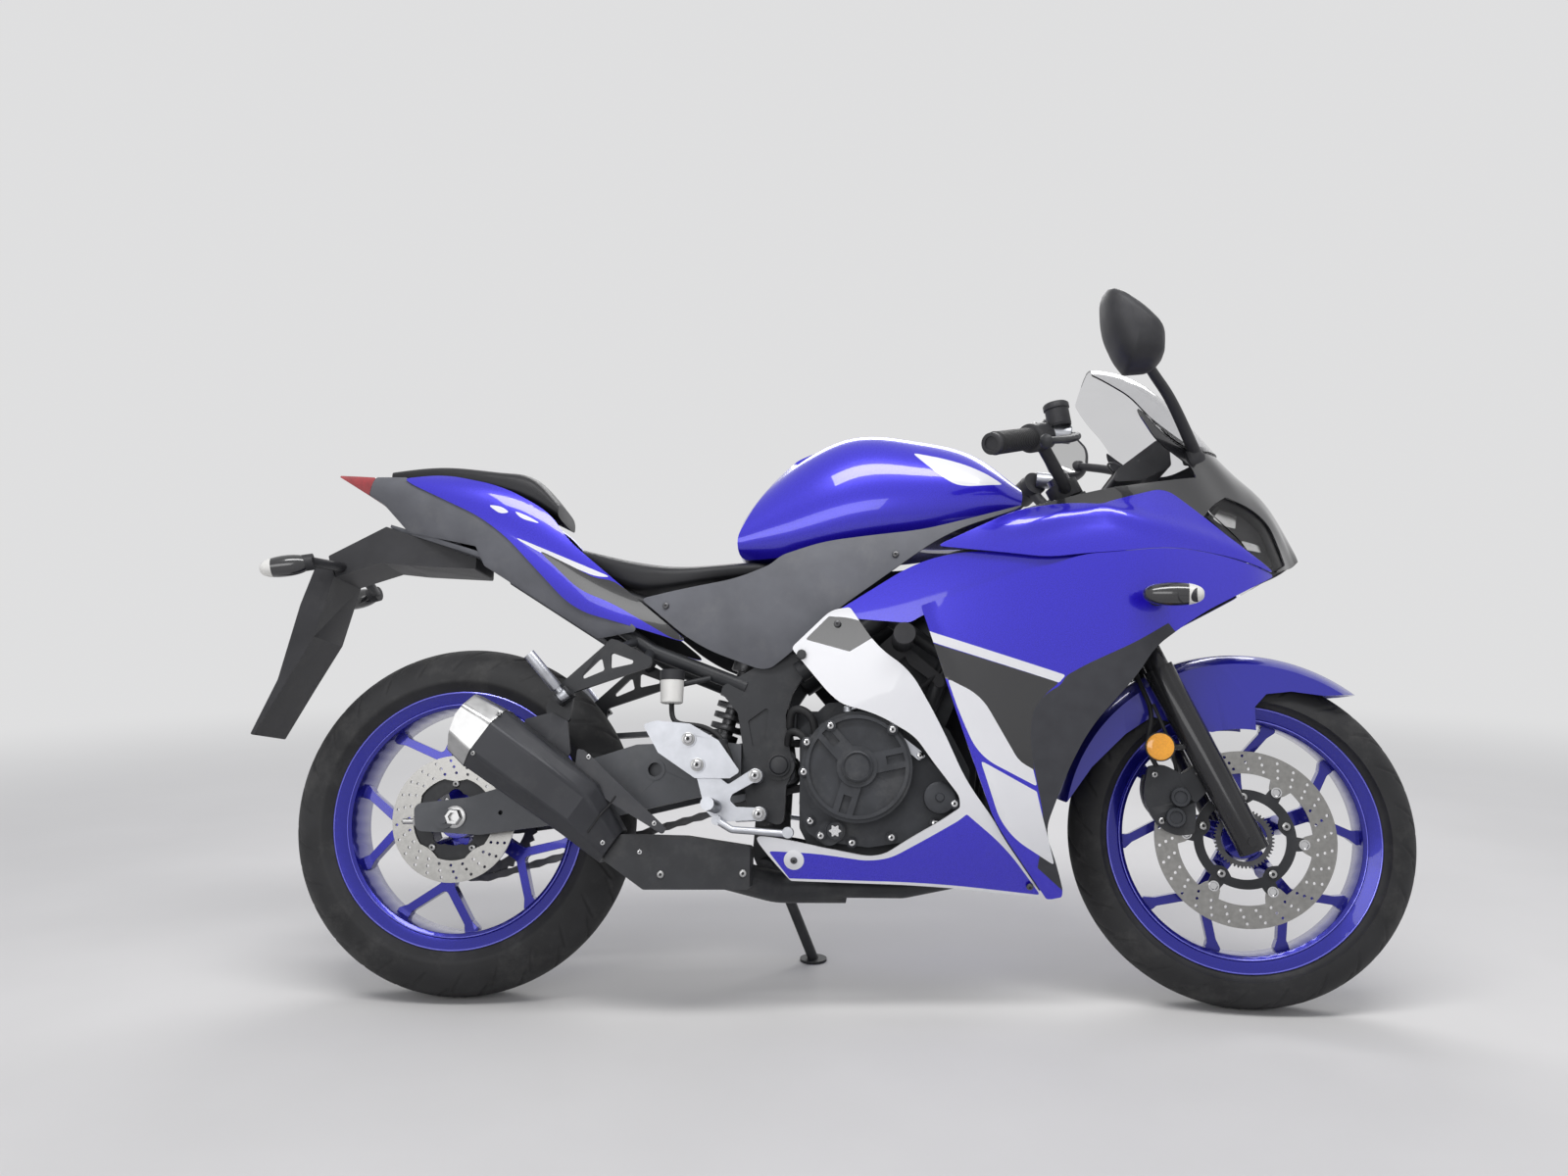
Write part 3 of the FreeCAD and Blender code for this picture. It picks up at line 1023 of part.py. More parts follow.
def make_mirrors():
    """Two stalked mirrors; the housings face back."""
    outline = [(1125, 1174), (1162, 1161), (1200, 1119), (1212, 1060), (1192, 1037), (1149, 1040),
               (1130, 1065), (1116, 1104)]
    middle = Vector(1166, 0, 1104)
    wires = []
    for y, scale in ((-376.0, 0.62), (-366.0, 0.86), (-340.0, 1.0), (-304.0, 0.98), (-287.0, 0.84)):
        points = [middle + (Vector(x, 0, z) - middle) * scale + Y_AXIS * y for x, z in outline]
        wires.append(Part.Wire(rounded_edges(points, 14.0 * scale, True)))
    housing = Part.makeLoft(wires, True, False)
    stalk = tube([Vector(1192, -298, 1064), Vector(1236, -232, 1040), Vector(1318, -106, 962)], 8.0, 30.0)
    stalk = stalk.cut(mirrored(half_body(BODY_FORM, -SCREEN_WALL - 2 * LAP_GAP)))
    pad = side_prism([(1286, 972), (1296, 938), (1344, 930), (1350, 952), (1322, 982)], 0.0, 200.0, 6.0)
    pad = pad.common(half_body(BODY_FORM, -MIRROR_PAD)).cut(half_body(BODY_FORM, -SCREEN_WALL - 2 * LAP_GAP))
    side = fused([housing, stalk, mirrored(pad)])
    return Part.makeCompound(both_sides(side))


def make_shock():
    """Damper body with its coil spring as rings."""
    low = Vector(462, 0, 437)
    tube_centre = Vector(SHOCK_TUBE_X, 0, SHOCK_TUBE_Z)
    along = tube_centre - low
    along.normalize()
    high = tube_centre - along * (RAIL_R + COVER_GAP)
    pieces = [disc_between(low, 13.0, -SHOCK_EYE_HALF, SHOCK_EYE_HALF), rod(low, high, 13.0),
              rod(low + along * 18, low + along * 32, 24.0), rod(high - along * 40, high - along * 6, 25.0)]
    for i in range(5):
        pieces.append(rod(low + along * (38 + 20 * i), low + along * (48 + 20 * i), 31.0))
    return fused(pieces)


def make_footrest_brackets():
    """Cast hangers that fork to two bolts on the frame plate, with heel plates and rider pegs."""
    heel = side_prism([(348, 471), (373, 477), (429, 472), (478, 444), (515, 392), (498, 381), (439, 381),
                       (376, 423)], -178.0, -172.0, 5.0)
    hanger = side_prism([(426, 440), (452, 346), (461, 324), (478, 309), (547, 313), (547, 333), (509, 334),
                         (498, 345), (502, 355), (546, 379), (534, 396), (495, 371), (478, 384), (446, 446)],
                        -172.5, -160.0, 5.0)
    pieces = [heel, hanger]
    for x, z in ((540, 386), (547, 323)):
        pieces.append(rod(Vector(x, -172.5, z), Vector(x, -PLATE_Y - PLATE_THICK / 2, z), 12.0))
    for x, z in ((427, 446), (443, 403)):
        pieces.append(rod(Vector(x, -165, z), Vector(x, -180.5, z), 13.0))
    pieces.append(rod(Vector(474, -168, 334), Vector(470, -256, 338), 11.0))
    return Part.makeCompound(both_sides(fused(pieces)))


def peg_place():
    """Local X becomes the right peg's hinge line."""
    turn = FreeCAD.Rotation(Y_AXIS, -PEG_AXIS_TILT)
    return FreeCAD.Placement(Vector(PEG_X, -PEG_Y, PEG_Z), turn)


def peg_clevis():
    """Two ears on a web, and the hinge pin between them, on the right side."""
    half = PEG_TONGUE / 2 + PEG_SIDE_GAP
    x_axis = Vector(1, 0, 0)
    pieces = [Part.makeCylinder(PEG_PIN_R, 2 * (half + PEG_EAR), Vector(-half - PEG_EAR, 0, 0), x_axis)]
    for x in (-half - PEG_EAR, half):
        pieces.append(Part.makeCylinder(PEG_EAR_R, PEG_EAR, Vector(x, 0, 0), x_axis))
        pieces.append(Part.makeBox(PEG_EAR, 20.0, 2 * PEG_EAR_R, Vector(x, 0, -PEG_EAR_R)))
    pieces.append(Part.makeBox(2 * (half + PEG_EAR), 7.0, 2 * PEG_EAR_R, Vector(-half - PEG_EAR, 14.0, -PEG_EAR_R)))
    return moved(fused(pieces), peg_place())


def make_foot_levers():
    """Brake pedal on the right, gear lever on the left."""
    boss = rod(Vector(478, -173.1, 312), Vector(478, -192, 312), 8.0)
    pedal = tube([Vector(478, -186, 312), Vector(504, -190, 297), Vector(600, -192, 291)], 6.0, 14.0)
    pad = rod(Vector(598, -190, 293), Vector(598, -222, 293), 9.0)
    pivot = rod(Vector(536, 173.1, 326), Vector(536, 192, 326), 11.0)
    lever = tube([Vector(536, 186, 326), Vector(600, 190, 318), Vector(690, 192, 322)], 5.0, 14.0)
    toe = rod(Vector(686, 188, 322), Vector(686, 226, 322), 8.0)
    return Part.makeCompound([fused([boss, pedal, pad]), fused([pivot, lever, toe])])


def make_rear_brake():
    """Rear caliper over its disc, master cylinder and fluid reservoir."""
    slot_low = REAR_DISC_Y - CALIPER_SLOT / 2
    slot_high = REAR_DISC_Y + CALIPER_SLOT / 2
    outline = [(70, 372), (110, 330), (136, 346), (128, 396), (92, 408)]
    caliper = side_prism(outline, slot_low - 14.0, slot_high + 14.0, 8.0)
    caliper = caliper.cut(disc_between(REAR_AXLE, REAR_DISC_R + 6.0, slot_low, slot_high))
    lug = side_prism([(96, 404), (150, 372), (150, 356), (100, 380)], -ARM_Y + ARM_THICK / 2 + COVER_GAP,
                     slot_high + 12.0, 4.0)
    lug = lug.cut(disc_between(REAR_AXLE, REAR_DISC_R + 8.0, slot_low, slot_high))
    tank = rod(Vector(392, -146, 510), Vector(392, -146, 566), 18.0)
    stay = rod(Vector(392, -136, 540), Vector(456, -PLATE_Y - 6.0, 556), 5.0)
    stay = stay.cut(mirrored(lower_rail(RAIL_R + SEAT_GAP)))
    return Part.makeCompound([fused([caliper, lug]), fused([tank, max(stay.Solids, key=lambda s: s.Volume)])])


def make_crash_sliders():
    bobbin = fused([rod(Vector(790, -130, 618), Vector(790, -236, 618), 18.0),
                    side_prism([(784, 640), (808, 622), (800, 596), (744, 560), (724, 588)], -136.0, -130.0, 6.0),
                    rod(Vector(853, -120, 548), Vector(853, -136, 548), 9.0),
                    side_prism([(784, 624), (862, 556), (856, 538), (800, 580)], -136.0, -131.5, 4.0)])
    bobbin = bobbin.cut(rod(Vector(880, -114, 610), Vector(832, -116, 500), FRAME_TUBE_R - 4.0 + SEAT_GAP))
    bobbin = max(bobbin.Solids, key=lambda solid: solid.Volume)
    return Part.makeCompound(both_sides(bobbin))


# Steering

def make_fork_legs():
    """Chromed tubes, cast sliders, axle and its clamps."""
    pieces = []
    for side in (LEFT, RIGHT):
        y = side * FORK_Y
        low = steer_point(AXLE_ALONG - 18.0, FORK_OFFSET, y)
        pieces.append(rod(low, steer_point(AXLE_ALONG + SLIDER_TOP, FORK_OFFSET, y), SLIDER_R))
        pieces.append(rod(steer_point(AXLE_ALONG + SLIDER_TOP - 20.0, FORK_OFFSET, y),
                          steer_point(AXLE_ALONG + FORK_TOP, FORK_OFFSET, y), FORK_TUBE_R))
    axle_centre = FRONT_AXLE
    pieces.append(disc_between(axle_centre, AXLE_R, -FORK_Y - 30.0, FORK_Y + 30.0))
    pieces.append(disc_between(axle_centre, 14.0, FRONT_HUB_HALF + 5.0, FORK_Y - 20.0))
    pieces.append(disc_between(axle_centre, 14.0, -FORK_Y + 20.0, FRONT_DISC_Y - 8.0))
    for side in (LEFT, RIGHT):
        pieces.append(rod(Vector(1240, side * 112.0, 447), Vector(1240, side * 118.0, 447), 25.0))
        pieces.append(rod(Vector(1255, side * 112.0, 447), Vector(1295, side * 100.0, 447), 5.0))
    return fused(pieces)


def make_triple_clamps():
    """Lower and upper clamps round the fork tubes, and the stem between them."""
    pieces = []
    for along in (LOWER_CLAMP, UPPER_CLAMP):
        base = steer_point(AXLE_ALONG + along, 0.0)
        points = [base + STEER_FORWARD * 24 + Y_AXIS * 40, base + STEER_FORWARD * (FORK_OFFSET + 32) + Y_AXIS * 84,
                  base + STEER_FORWARD * (FORK_OFFSET + 32) + Y_AXIS * 112,
                  base + STEER_FORWARD * (FORK_OFFSET - 30) + Y_AXIS * 128,
                  base - STEER_FORWARD * 34 + Y_AXIS * 34, base - STEER_FORWARD * 34 - Y_AXIS * 34,
                  base + STEER_FORWARD * (FORK_OFFSET - 30) - Y_AXIS * 128,
                  base + STEER_FORWARD * (FORK_OFFSET + 32) - Y_AXIS * 112,
                  base + STEER_FORWARD * (FORK_OFFSET + 32) - Y_AXIS * 84, base + STEER_FORWARD * 24 - Y_AXIS * 40]
        clamp = free_prism(points, 10.0, STEER_DIR * CLAMP_THICK)
        for y in (-FORK_Y, FORK_Y):
            clamp = clamp.cut(rod(base + STEER_FORWARD * FORK_OFFSET + Y_AXIS * y - STEER_DIR,
                                  base + STEER_FORWARD * FORK_OFFSET + Y_AXIS * y + STEER_DIR * (CLAMP_THICK + 1),
                                  FORK_TUBE_R + 0.2))
        pieces.append(clamp)
    stem = rod(steer_point(AXLE_ALONG + LOWER_CLAMP), steer_point(AXLE_ALONG + UPPER_CLAMP + 12.0), STEM_R)
    return fused(pieces + [stem])


def make_handlebars():
    """Clip-on bars with grips, switch boxes and levers."""
    grip_in = Vector(1047, -198, 976)
    grip_out = Vector(970, -340, 930)
    along = grip_out - grip_in
    along.normalize()
    clamp_low = steer_point(AXLE_ALONG + UPPER_CLAMP + CLAMP_THICK + 1.0, FORK_OFFSET, -FORK_Y)
    clamp_high = clamp_low + STEER_DIR * 30.0
    ring = rod(clamp_low, clamp_high, FORK_TUBE_R + 9.0)
    root = clamp_low + STEER_DIR * 15.0
    bar = tube([root - Y_AXIS * 24, root - Y_AXIS * 44 + Vector(-4, 0, 6), grip_in, grip_out - along * 4],
               BAR_R, 22.0)
    grip = rod(grip_in + along * 30.0, grip_out, GRIP_R)
    switch = rod(grip_in - along * 26.0, grip_in + along * 28.0, 24.0)
    side = fused([ring, bar, grip, switch])
    tube_hole = rod(clamp_low - STEER_DIR * 2, clamp_high + STEER_DIR * 30, FORK_TUBE_R + 0.2)
    side = side.cut(tube_hole)
    lever = tube([Vector(1098, -160, 984), Vector(1112, -210, 972), Vector(1052, -330, 932)], 6.0, 40.0)
    perch = rod(Vector(1060, -176, 990), Vector(1104, -176, 984), 15.0)
    reservoir = rod(Vector(1086, -182, 998), Vector(1080, -182, 1036), 20.0)
    controls = [lever, perch]
    right = fused([side] + controls + [reservoir])
    left = fused([mirrored(side)] + [mirrored(c) for c in controls])
    return Part.makeCompound([right, left])


def make_front_fender():
    """Curved blade over the wheel whose side skirts reach down to a pointed leg behind each slider."""
    radius = FRONT_TYRE_R + 16.0
    crown = [(radius - 7.0, -66.0), (radius + 10.0, -36.0), (radius + 14.0, 0.0), (radius + 10.0, 36.0),
             (radius - 7.0, 66.0)]
    under = [(radius - 9.0, 62.5), (radius + 6.5, 34.0), (radius + 10.5, 0.0), (radius + 6.5, -34.0),
             (radius - 9.0, -62.5)]
    skirt = 120.0
    profile = [(radius - skirt, -66.0)] + crown + [(radius - skirt, 66.0), (radius - skirt, 62.5)] + under
    shell = turned(profile + [(radius - skirt, -62.5)], FRONT_AXLE)
    outline = [(1760, 520), (1590, 537), (1524, 534), (1469, 542), (1428, 538), (1408, 516), (1408, 428),
               (1355, 443), (1352, 470), (1300, 478), (1236, 500), (1190, 470), (1130, 412), (1085, 350),
               (900, 420), (1150, 800), (1560, 800)]
    blade = shell.common(side_prism(outline, -90.0, 90.0, 4.0))
    lugs = []
    for along in (190.0, 286.0):
        centre = steer_point(AXLE_ALONG + along, FORK_OFFSET)
        lugs.append(disc_between(centre, 10.0, 64.0, FORK_Y))
    low = steer_point(AXLE_ALONG, FORK_OFFSET, FORK_Y)
    slider = rod(low, low + STEER_DIR * SLIDER_TOP, SLIDER_R + COVER_GAP)
    lugs = [max(lug.cut(slider).Solids, key=lambda solid: -solid.CenterOfMass.y) for lug in lugs]
    return fused([blade.cut(slider).cut(mirrored(slider))] + lugs + [mirrored(lug) for lug in lugs])


def make_front_brake():
    """Two-piston caliper behind the right leg, with its bracket on the slider."""
    slot_low = FRONT_DISC_Y - CALIPER_SLOT / 2
    slot_high = FRONT_DISC_Y + CALIPER_SLOT / 2
    outline = [(1206, 420), (1190, 380), (1206, 332), (1250, 300), (1282, 310), (1266, 350), (1250, 410)]
    caliper = side_prism(outline, slot_low - 24.0, slot_high + 12.0, 10.0)
    caliper = caliper.cut(disc_between(FRONT_AXLE, FRONT_DISC_R + 6.0, slot_low, slot_high))
    bracket = side_prism([(1236, 400), (1300, 470), (1330, 400), (1340, 350), (1262, 322)],
                         -FORK_Y + 4.0, -FORK_Y + 12.0, 6.0)
    low = steer_point(AXLE_ALONG - 18.0, FORK_OFFSET, -FORK_Y)
    bracket = bracket.cut(rod(low, low + STEER_DIR * SLIDER_TOP, SLIDER_R + SEAT_GAP))
    kept = max(bracket.Solids, key=lambda solid: -solid.CenterOfMass.x)
    pistons = [disc_between(Vector(x, 0, z), 17.0, slot_low - 31.0, slot_low - 20.0)
               for x, z in ((1249, 362), (1241, 332))]
    return fused([caliper, kept] + pistons)


# Stand and passenger pegs

def stand_foot():
    """Where the stand's pad meets the ground, and the way up there, in the upright machine."""
    back = lean_placement().inverse()
    return back.multVec(Vector(STAND_FOOT_X, STAND_FOOT_Y, 0)), back.Rotation.multVec(Vector(0, 0, 1))


def make_side_stand():
    """Leg, foot pad and the eye on the pivot pin."""
    ground, up = stand_foot()
    pivot = Vector(*STAND_PIVOT)
    axis = Vector(*STAND_AXIS)
    axis.normalize()
    eye_centre = pivot + axis * 19.0
    eye = rod(eye_centre - axis * 9.0, eye_centre + axis * 9.0, 16.0)
    leg = rod(eye_centre + (ground - eye_centre) * 0.045, ground + up * STAND_PAD * 0.6, STAND_R)
    leg = leg.cut(Part.makeCylinder(80.0, 40.0, ground - up * 40.0, up))
    pad = Part.makeCylinder(STAND_PAD_R, STAND_PAD, ground, up)
    stand = fused([eye, leg, pad])
    stand = stand.cut(rod(pivot - axis * 30.0, pivot + axis * 9.5, 24.0))
    hole = rod(eye_centre - axis * 12.0, eye_centre + axis * 30.0, STAND_PIN_R + STAND_PIN_GAP)
    return stand.cut(hole)


def make_passenger_peg(side):
    """Folded-up peg on its hinge pin."""
    x_axis = Vector(1, 0, 0)
    start = Vector(-PEG_TONGUE / 2, 0, 0)
    eye = Part.makeCylinder(PEG_EAR_R - 1.0, PEG_TONGUE, start, x_axis)
    fold = math.radians(PEG_FOLD)
    out = Vector(0, -math.cos(fold), math.sin(fold))
    tongue = rod(out * 4.0, out * 22.0, PEG_TONGUE / 2 - 1.5)
    peg = rod(out * 17.0, out * PEG_LENGTH, PEG_R)
    whole = fused([eye, tongue, peg])
    hole = Part.makeCylinder(PEG_PIN_R + STAND_PIN_GAP, PEG_TONGUE + 4.0, start - x_axis * 2.0, x_axis)
    whole = moved(whole.cut(hole), peg_place())
    return whole if side == RIGHT else mirrored(whole)


# Placing

def leaned_low(centre_z, radius, tread_r, across_z):
    """Height of a round-treaded wheel's lowest point; across_z is the vertical part of its axle."""
    return centre_z - (radius - tread_r) * math.sqrt(1.0 - across_z ** 2) - tread_r


def steer_placement():
    turn = FreeCAD.Rotation(STEER_DIR, STEER_REST)
    return FreeCAD.Placement(Vector(0, 0, 0), turn, STEER_FOOT)


def lean_placement():
    """Lean to the left, then pitch and drop until both tyres touch the ground."""
    lean = FreeCAD.Placement(Vector(0, 0, 0), FreeCAD.Rotation(Vector(1, 0, 0), -LEAN))
    pitch = 0.0
    for _ in range(6):
        tilt = FreeCAD.Placement(Vector(0, 0, 0), FreeCAD.Rotation(Y_AXIS, pitch))
        place = tilt.multiply(lean)
        rear = place.multVec(REAR_AXLE)
        front = place.multVec(steer_placement().multVec(FRONT_AXLE))
        rear_across = place.Rotation.multVec(Y_AXIS)
        front_across = place.Rotation.multVec(steer_placement().Rotation.multVec(Y_AXIS))
        rear_low = leaned_low(rear.z, REAR_TYRE_R, REAR_TREAD_R, rear_across.z)
        front_low = leaned_low(front.z, FRONT_TYRE_R, FRONT_TREAD_R, front_across.z)
        pitch += math.degrees(math.atan2(front_low - rear_low, front.x - rear.x))
    return FreeCAD.Placement(Vector(0, 0, -rear_low), FreeCAD.Rotation()).multiply(place)


def build():
    """Every piece, upright and unsteered, by node name."""
    side = make_side_fairing()
    nodes = {
        "frame": make_frame(),
        "engine": make_engine(),
        "engine_covers": make_engine_covers(),
        "radiator": make_radiator(),
        "exhaust_pipe": make_exhaust_pipe(),
        "muffler": make_muffler(),
        "muffler_cap": make_muffler_cap(),
        "fuel_tank": make_fuel_tank(),
        "rider_seat": make_rider_seat(),
        "passenger_seat": make_passenger_seat(),
        "tail_covers": make_tail_covers(),
        "tail_undertray": make_tail_undertray(),
        "tail_lamp": make_tail_lamp(),
        "plate_carrier": make_plate_carrier(),
        "indicators": make_indicators(),
        "side_covers": make_side_covers(),
        "side_fairing_right": mirrored(side),
        "side_fairing_left": side,
        "belly_fairings": make_belly(),
        "front_cowl": make_front_cowl(),
        "nose_panel": make_nose_panel(),
        "headlamps": make_headlamps(),
        "windscreen": make_windscreen(),
        "instrument_panel": make_instrument_panel(),
        "mirrors": make_mirrors(),
        "swingarm": make_swingarm(),
        "rear_shock": make_shock(),
        "chain": make_chain(),
        "footrest_brackets": make_footrest_brackets(),
        "foot_levers": make_foot_levers(),
        "rear_brake": make_rear_brake(),
        "crash_sliders": make_crash_sliders(),
        "rear_rim": rim(REAR_AXLE, REAR_RIM_HALF, REAR_HUB_HALF, REAR_SPOKE_FIRST),
        "rear_tyre": tyre(REAR_AXLE, REAR_TYRE_R, REAR_TREAD_R, REAR_RIM_HALF),
        "rear_disc": brake_disc(REAR_AXLE, REAR_DISC_R, REAR_DISC_WIDTH, REAR_DISC_Y, REAR_HUB_HALF, 5, 20.0),
        "rear_sprocket": make_rear_sprocket(),
        "side_stand": make_side_stand(),
        "passenger_peg_right": make_passenger_peg(RIGHT),
        "passenger_peg_left": make_passenger_peg(LEFT),
        "fuel_lid": make_fuel_lid(),
    }
    steered = {
        "triple_clamps": make_triple_clamps(),
        "fork_legs": make_fork_legs(),
        "handlebars": make_handlebars(),
        "front_fender": make_front_fender(),
        "front_brake": make_front_brake(),
        "front_rim": rim(FRONT_AXLE, FRONT_RIM_HALF, FRONT_HUB_HALF, FRONT_SPOKE_FIRST),
        "front_tyre": tyre(FRONT_AXLE, FRONT_TYRE_R, FRONT_TREAD_R, FRONT_RIM_HALF),
        "front_disc": make_front_disc(),
    }
    return nodes, steered


def rest_shift(shapes):
    """Moves the middle of the bounding box over the origin; the ground stays at zero."""
    box = FreeCAD.BoundBox()
    for shape in shapes:
        box.add(shape.BoundBox)
    return Vector(-(box.XMin + box.XMax) / 2, -(box.YMin + box.YMax) / 2, 0)


def main():
    os.makedirs("parts", exist_ok=True)
    nodes, steered = build()
    for name, shape in steered.items():
        nodes[name] = moved(shape, steer_placement())
    park = lean_placement()
    parked = {name: moved(shape, park) for name, shape in nodes.items()}
    shift = rest_shift(parked.values())
    for name, shape in parked.items():
        shape.translate(shift)
        shape.exportStep(os.path.join("parts", name + ".step"))


def moved(shape, placement):
    copy = shape.copy()
    copy.transformShape(placement.toMatrix())
    return copy


if __name__ == "__main__":
    main()
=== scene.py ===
import math
from functools import cache
import bpy
import numpy as np
from mathutils import Matrix, Vector
from mathutils.geometry import delaunay_2d_cdt


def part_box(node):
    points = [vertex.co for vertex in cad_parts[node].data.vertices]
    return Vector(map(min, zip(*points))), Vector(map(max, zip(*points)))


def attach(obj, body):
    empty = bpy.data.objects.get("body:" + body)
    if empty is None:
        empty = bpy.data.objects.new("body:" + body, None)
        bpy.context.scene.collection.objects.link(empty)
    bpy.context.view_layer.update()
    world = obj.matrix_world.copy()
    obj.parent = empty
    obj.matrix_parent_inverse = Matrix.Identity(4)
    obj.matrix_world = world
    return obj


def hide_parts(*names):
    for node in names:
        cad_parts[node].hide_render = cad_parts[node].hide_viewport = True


# Looks of a sport motorcycle that leans on its side stand.
#
# Shapes are written for the upright machine, in millimetres: X forward, Y to its left, Z up, the rear
# axle above x = 0 and the ground at z = 0. UPRIGHT leans them onto the stand and turns them into the
# metres of the frame, and STEERED also turns them with the front wheel.

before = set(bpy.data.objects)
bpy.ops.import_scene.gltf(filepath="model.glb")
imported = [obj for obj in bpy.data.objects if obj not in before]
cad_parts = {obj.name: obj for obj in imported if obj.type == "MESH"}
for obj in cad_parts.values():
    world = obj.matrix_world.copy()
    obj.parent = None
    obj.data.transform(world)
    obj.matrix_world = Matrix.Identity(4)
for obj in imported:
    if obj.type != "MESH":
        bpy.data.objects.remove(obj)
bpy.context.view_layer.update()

# Driving sizes
LEAN = 12.0
STEER_REST = -7.0
WHEELBASE = 1380.0
RAKE = math.radians(25.0)
TRAIL = 95.0
REAR_TYRE_R = 311.0
REAR_TREAD_R = 70.0
FRONT_TYRE_R = 291.0
FRONT_TREAD_R = 56.0
REAR_RIM_HALF = 56.0
FRONT_RIM_HALF = 43.0
RIM_FLANGE_R = 227.0
CORNER_SHARE = 0.46
GENTLE_HALF = math.radians(68.0)
TREAD_DEPTH = 3.2
GROOVE_WIDTH = 0.0016
PANEL_WALL = 3.0
COWL_STEP = 3.3
DUCT_STEP = -8.0
DUCT_LINER_STEP = -20.0
BOWL_STEP = -22.0
GRID_STEP = 9.0
AREA_CORNER = 3.0
CREASE_GAP = 0.8
PANEL_EDGE = 0.7
LENS_WALL = 2.5
LINER_WALL = 2.0
TANK_CORNER = 24.0
TANK_BACK_CROWN = 16.0
FRONT_ROTOR_Y = -62.0
REAR_ROTOR_Y = -80.0

Y_AXIS = Vector((0, 1, 0))
LEFT = (0, 1, 0)
RIGHT = (0, -1, 0)
UP = (0, 0, 1)
REAR_AXLE = Vector((0, 0, REAR_TYRE_R))
FRONT_AXLE = Vector((WHEELBASE, 0, FRONT_TYRE_R))
STEER_FOOT = Vector((WHEELBASE + TRAIL, 0, 0))
STEER_DIR = Vector((-math.sin(RAKE), 0, math.cos(RAKE)))
STEER_FORWARD = Vector((math.cos(RAKE), 0, math.sin(RAKE)))


def turn_about(point, axis, degrees):
    move = Matrix.Translation(point)
    return move @ Matrix.Rotation(math.radians(degrees), 4, axis) @ move.inverted()


STEER_TURN = turn_about(STEER_FOOT, STEER_DIR, STEER_REST)


def wheel_low(place, axle, radius, tread_r):
    """Lowest point of a round-treaded wheel under a placing."""
    across = (place.to_3x3() @ Y_AXIS).z
    return (place @ axle).z - (radius - tread_r) * math.sqrt(1.0 - across ** 2) - tread_r


def upright_matrix():
    """Lean and pitch onto both tyres and the stand, then into the frame, found from the rear rim."""
    lean = Matrix.Rotation(math.radians(-LEAN), 4, "X")
    pitch = 0.0
    for _ in range(6):
        place = Matrix.Rotation(math.radians(pitch), 4, "Y") @ lean
        rear_low = wheel_low(place, REAR_AXLE, REAR_TYRE_R, REAR_TREAD_R)
        front_low = wheel_low(place @ STEER_TURN, FRONT_AXLE, FRONT_TYRE_R, FRONT_TREAD_R)
        reach = (place @ STEER_TURN @ FRONT_AXLE).x - (place @ REAR_AXLE).x
        pitch += math.degrees(math.atan2(front_low - rear_low, reach))
    low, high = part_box("rear_rim")
    shift = (low + high) * 500.0 - place @ REAR_AXLE
    return Matrix.Scale(0.001, 4) @ Matrix.Translation(shift) @ place


UPRIGHT = upright_matrix()
STEERED = UPRIGHT @ STEER_TURN


# Forms of the bodywork: stations along x, each a curve of (half width, height) from bottom to top
BODY_TABLE = (
    (540, ((118, 180), (158, 300), (172, 450), (180, 620), (177, 700), (170, 765), (160, 830), (150, 885),
           (140, 940), (125, 1000), (90, 1050), (45, 1080), (0, 1090))),
    (760, ((112, 180), (165, 300), (190, 450), (206, 620), (206, 700), (202, 765), (188, 825), (168, 880),
           (156, 940), (140, 1000), (100, 1050), (50, 1080), (0, 1090))),
    (960, ((98, 180), (158, 300), (194, 450), (220, 620), (224, 700), (222, 765), (209, 820), (189, 868),
           (172, 940), (160, 1000), (112, 1060), (52, 1095), (0, 1105))),
    (1130, ((94, 180), (150, 300), (188, 450), (216, 620), (220, 700), (218, 765), (202, 830), (172, 882),
            (160, 945), (153, 1012), (110, 1092), (52, 1140), (0, 1154))),
    (1250, ((76, 180), (124, 300), (156, 450), (184, 620), (190, 700), (188, 765), (172, 835), (150, 888),
            (139, 950), (130, 1005), (94, 1072), (46, 1112), (0, 1127))),
    (1350, ((50, 180), (86, 300), (112, 450), (138, 620), (147, 700), (146, 765), (131, 835), (110, 888),
            (94, 930), (82, 962), (56, 995), (28, 1015), (0, 1022))),
    (1420, ((30, 180), (56, 300), (76, 450), (96, 620), (108, 700), (109, 765), (97, 820), (80, 865),
            (66, 892), (52, 912), (35, 930), (17, 942), (0, 946))),
    (1475, ((14, 180), (26, 300), (36, 450), (46, 620), (58, 705), (62, 765), (56, 800), (46, 838),
            (38, 852), (29, 866), (19, 878), (9, 886), (0, 889))),
    (1516, ((3, 180), (5, 300), (7, 450), (9, 620), (14, 710), (17, 770), (16, 780), (14, 788),
            (12, 794), (10, 799), (7, 803), (4, 806), (0, 808))),
)
TAIL_TABLE = (
    (-300, ((16, 900), (24, 930), (26, 950), (20, 962), (0, 966))),
    (-190, ((40, 860), (54, 905), (60, 935), (46, 958), (0, 966))),
    (-60, ((70, 800), (86, 860), (88, 905), (68, 945), (0, 958))),
    (100, ((86, 700), (106, 780), (106, 850), (84, 910), (0, 950))),
    (260, ((94, 600), (120, 680), (120, 750), (100, 800), (0, 850))),
    (430, ((94, 560), (126, 620), (128, 690), (104, 740), (0, 790))),
)
COVER_TABLE = (
    (290, ((96, 540), (126, 620), (130, 700), (112, 770), (60, 820))),
    (450, ((110, 540), (140, 620), (144, 700), (124, 775), (60, 830))),
    (600, ((122, 540), (152, 620), (156, 710), (138, 790), (60, 850))),
    (800, ((140, 600), (170, 690), (172, 770), (154, 830), (60, 880))),
    (1010, ((160, 700), (186, 780), (184, 840), (160, 880), (60, 920))),
)
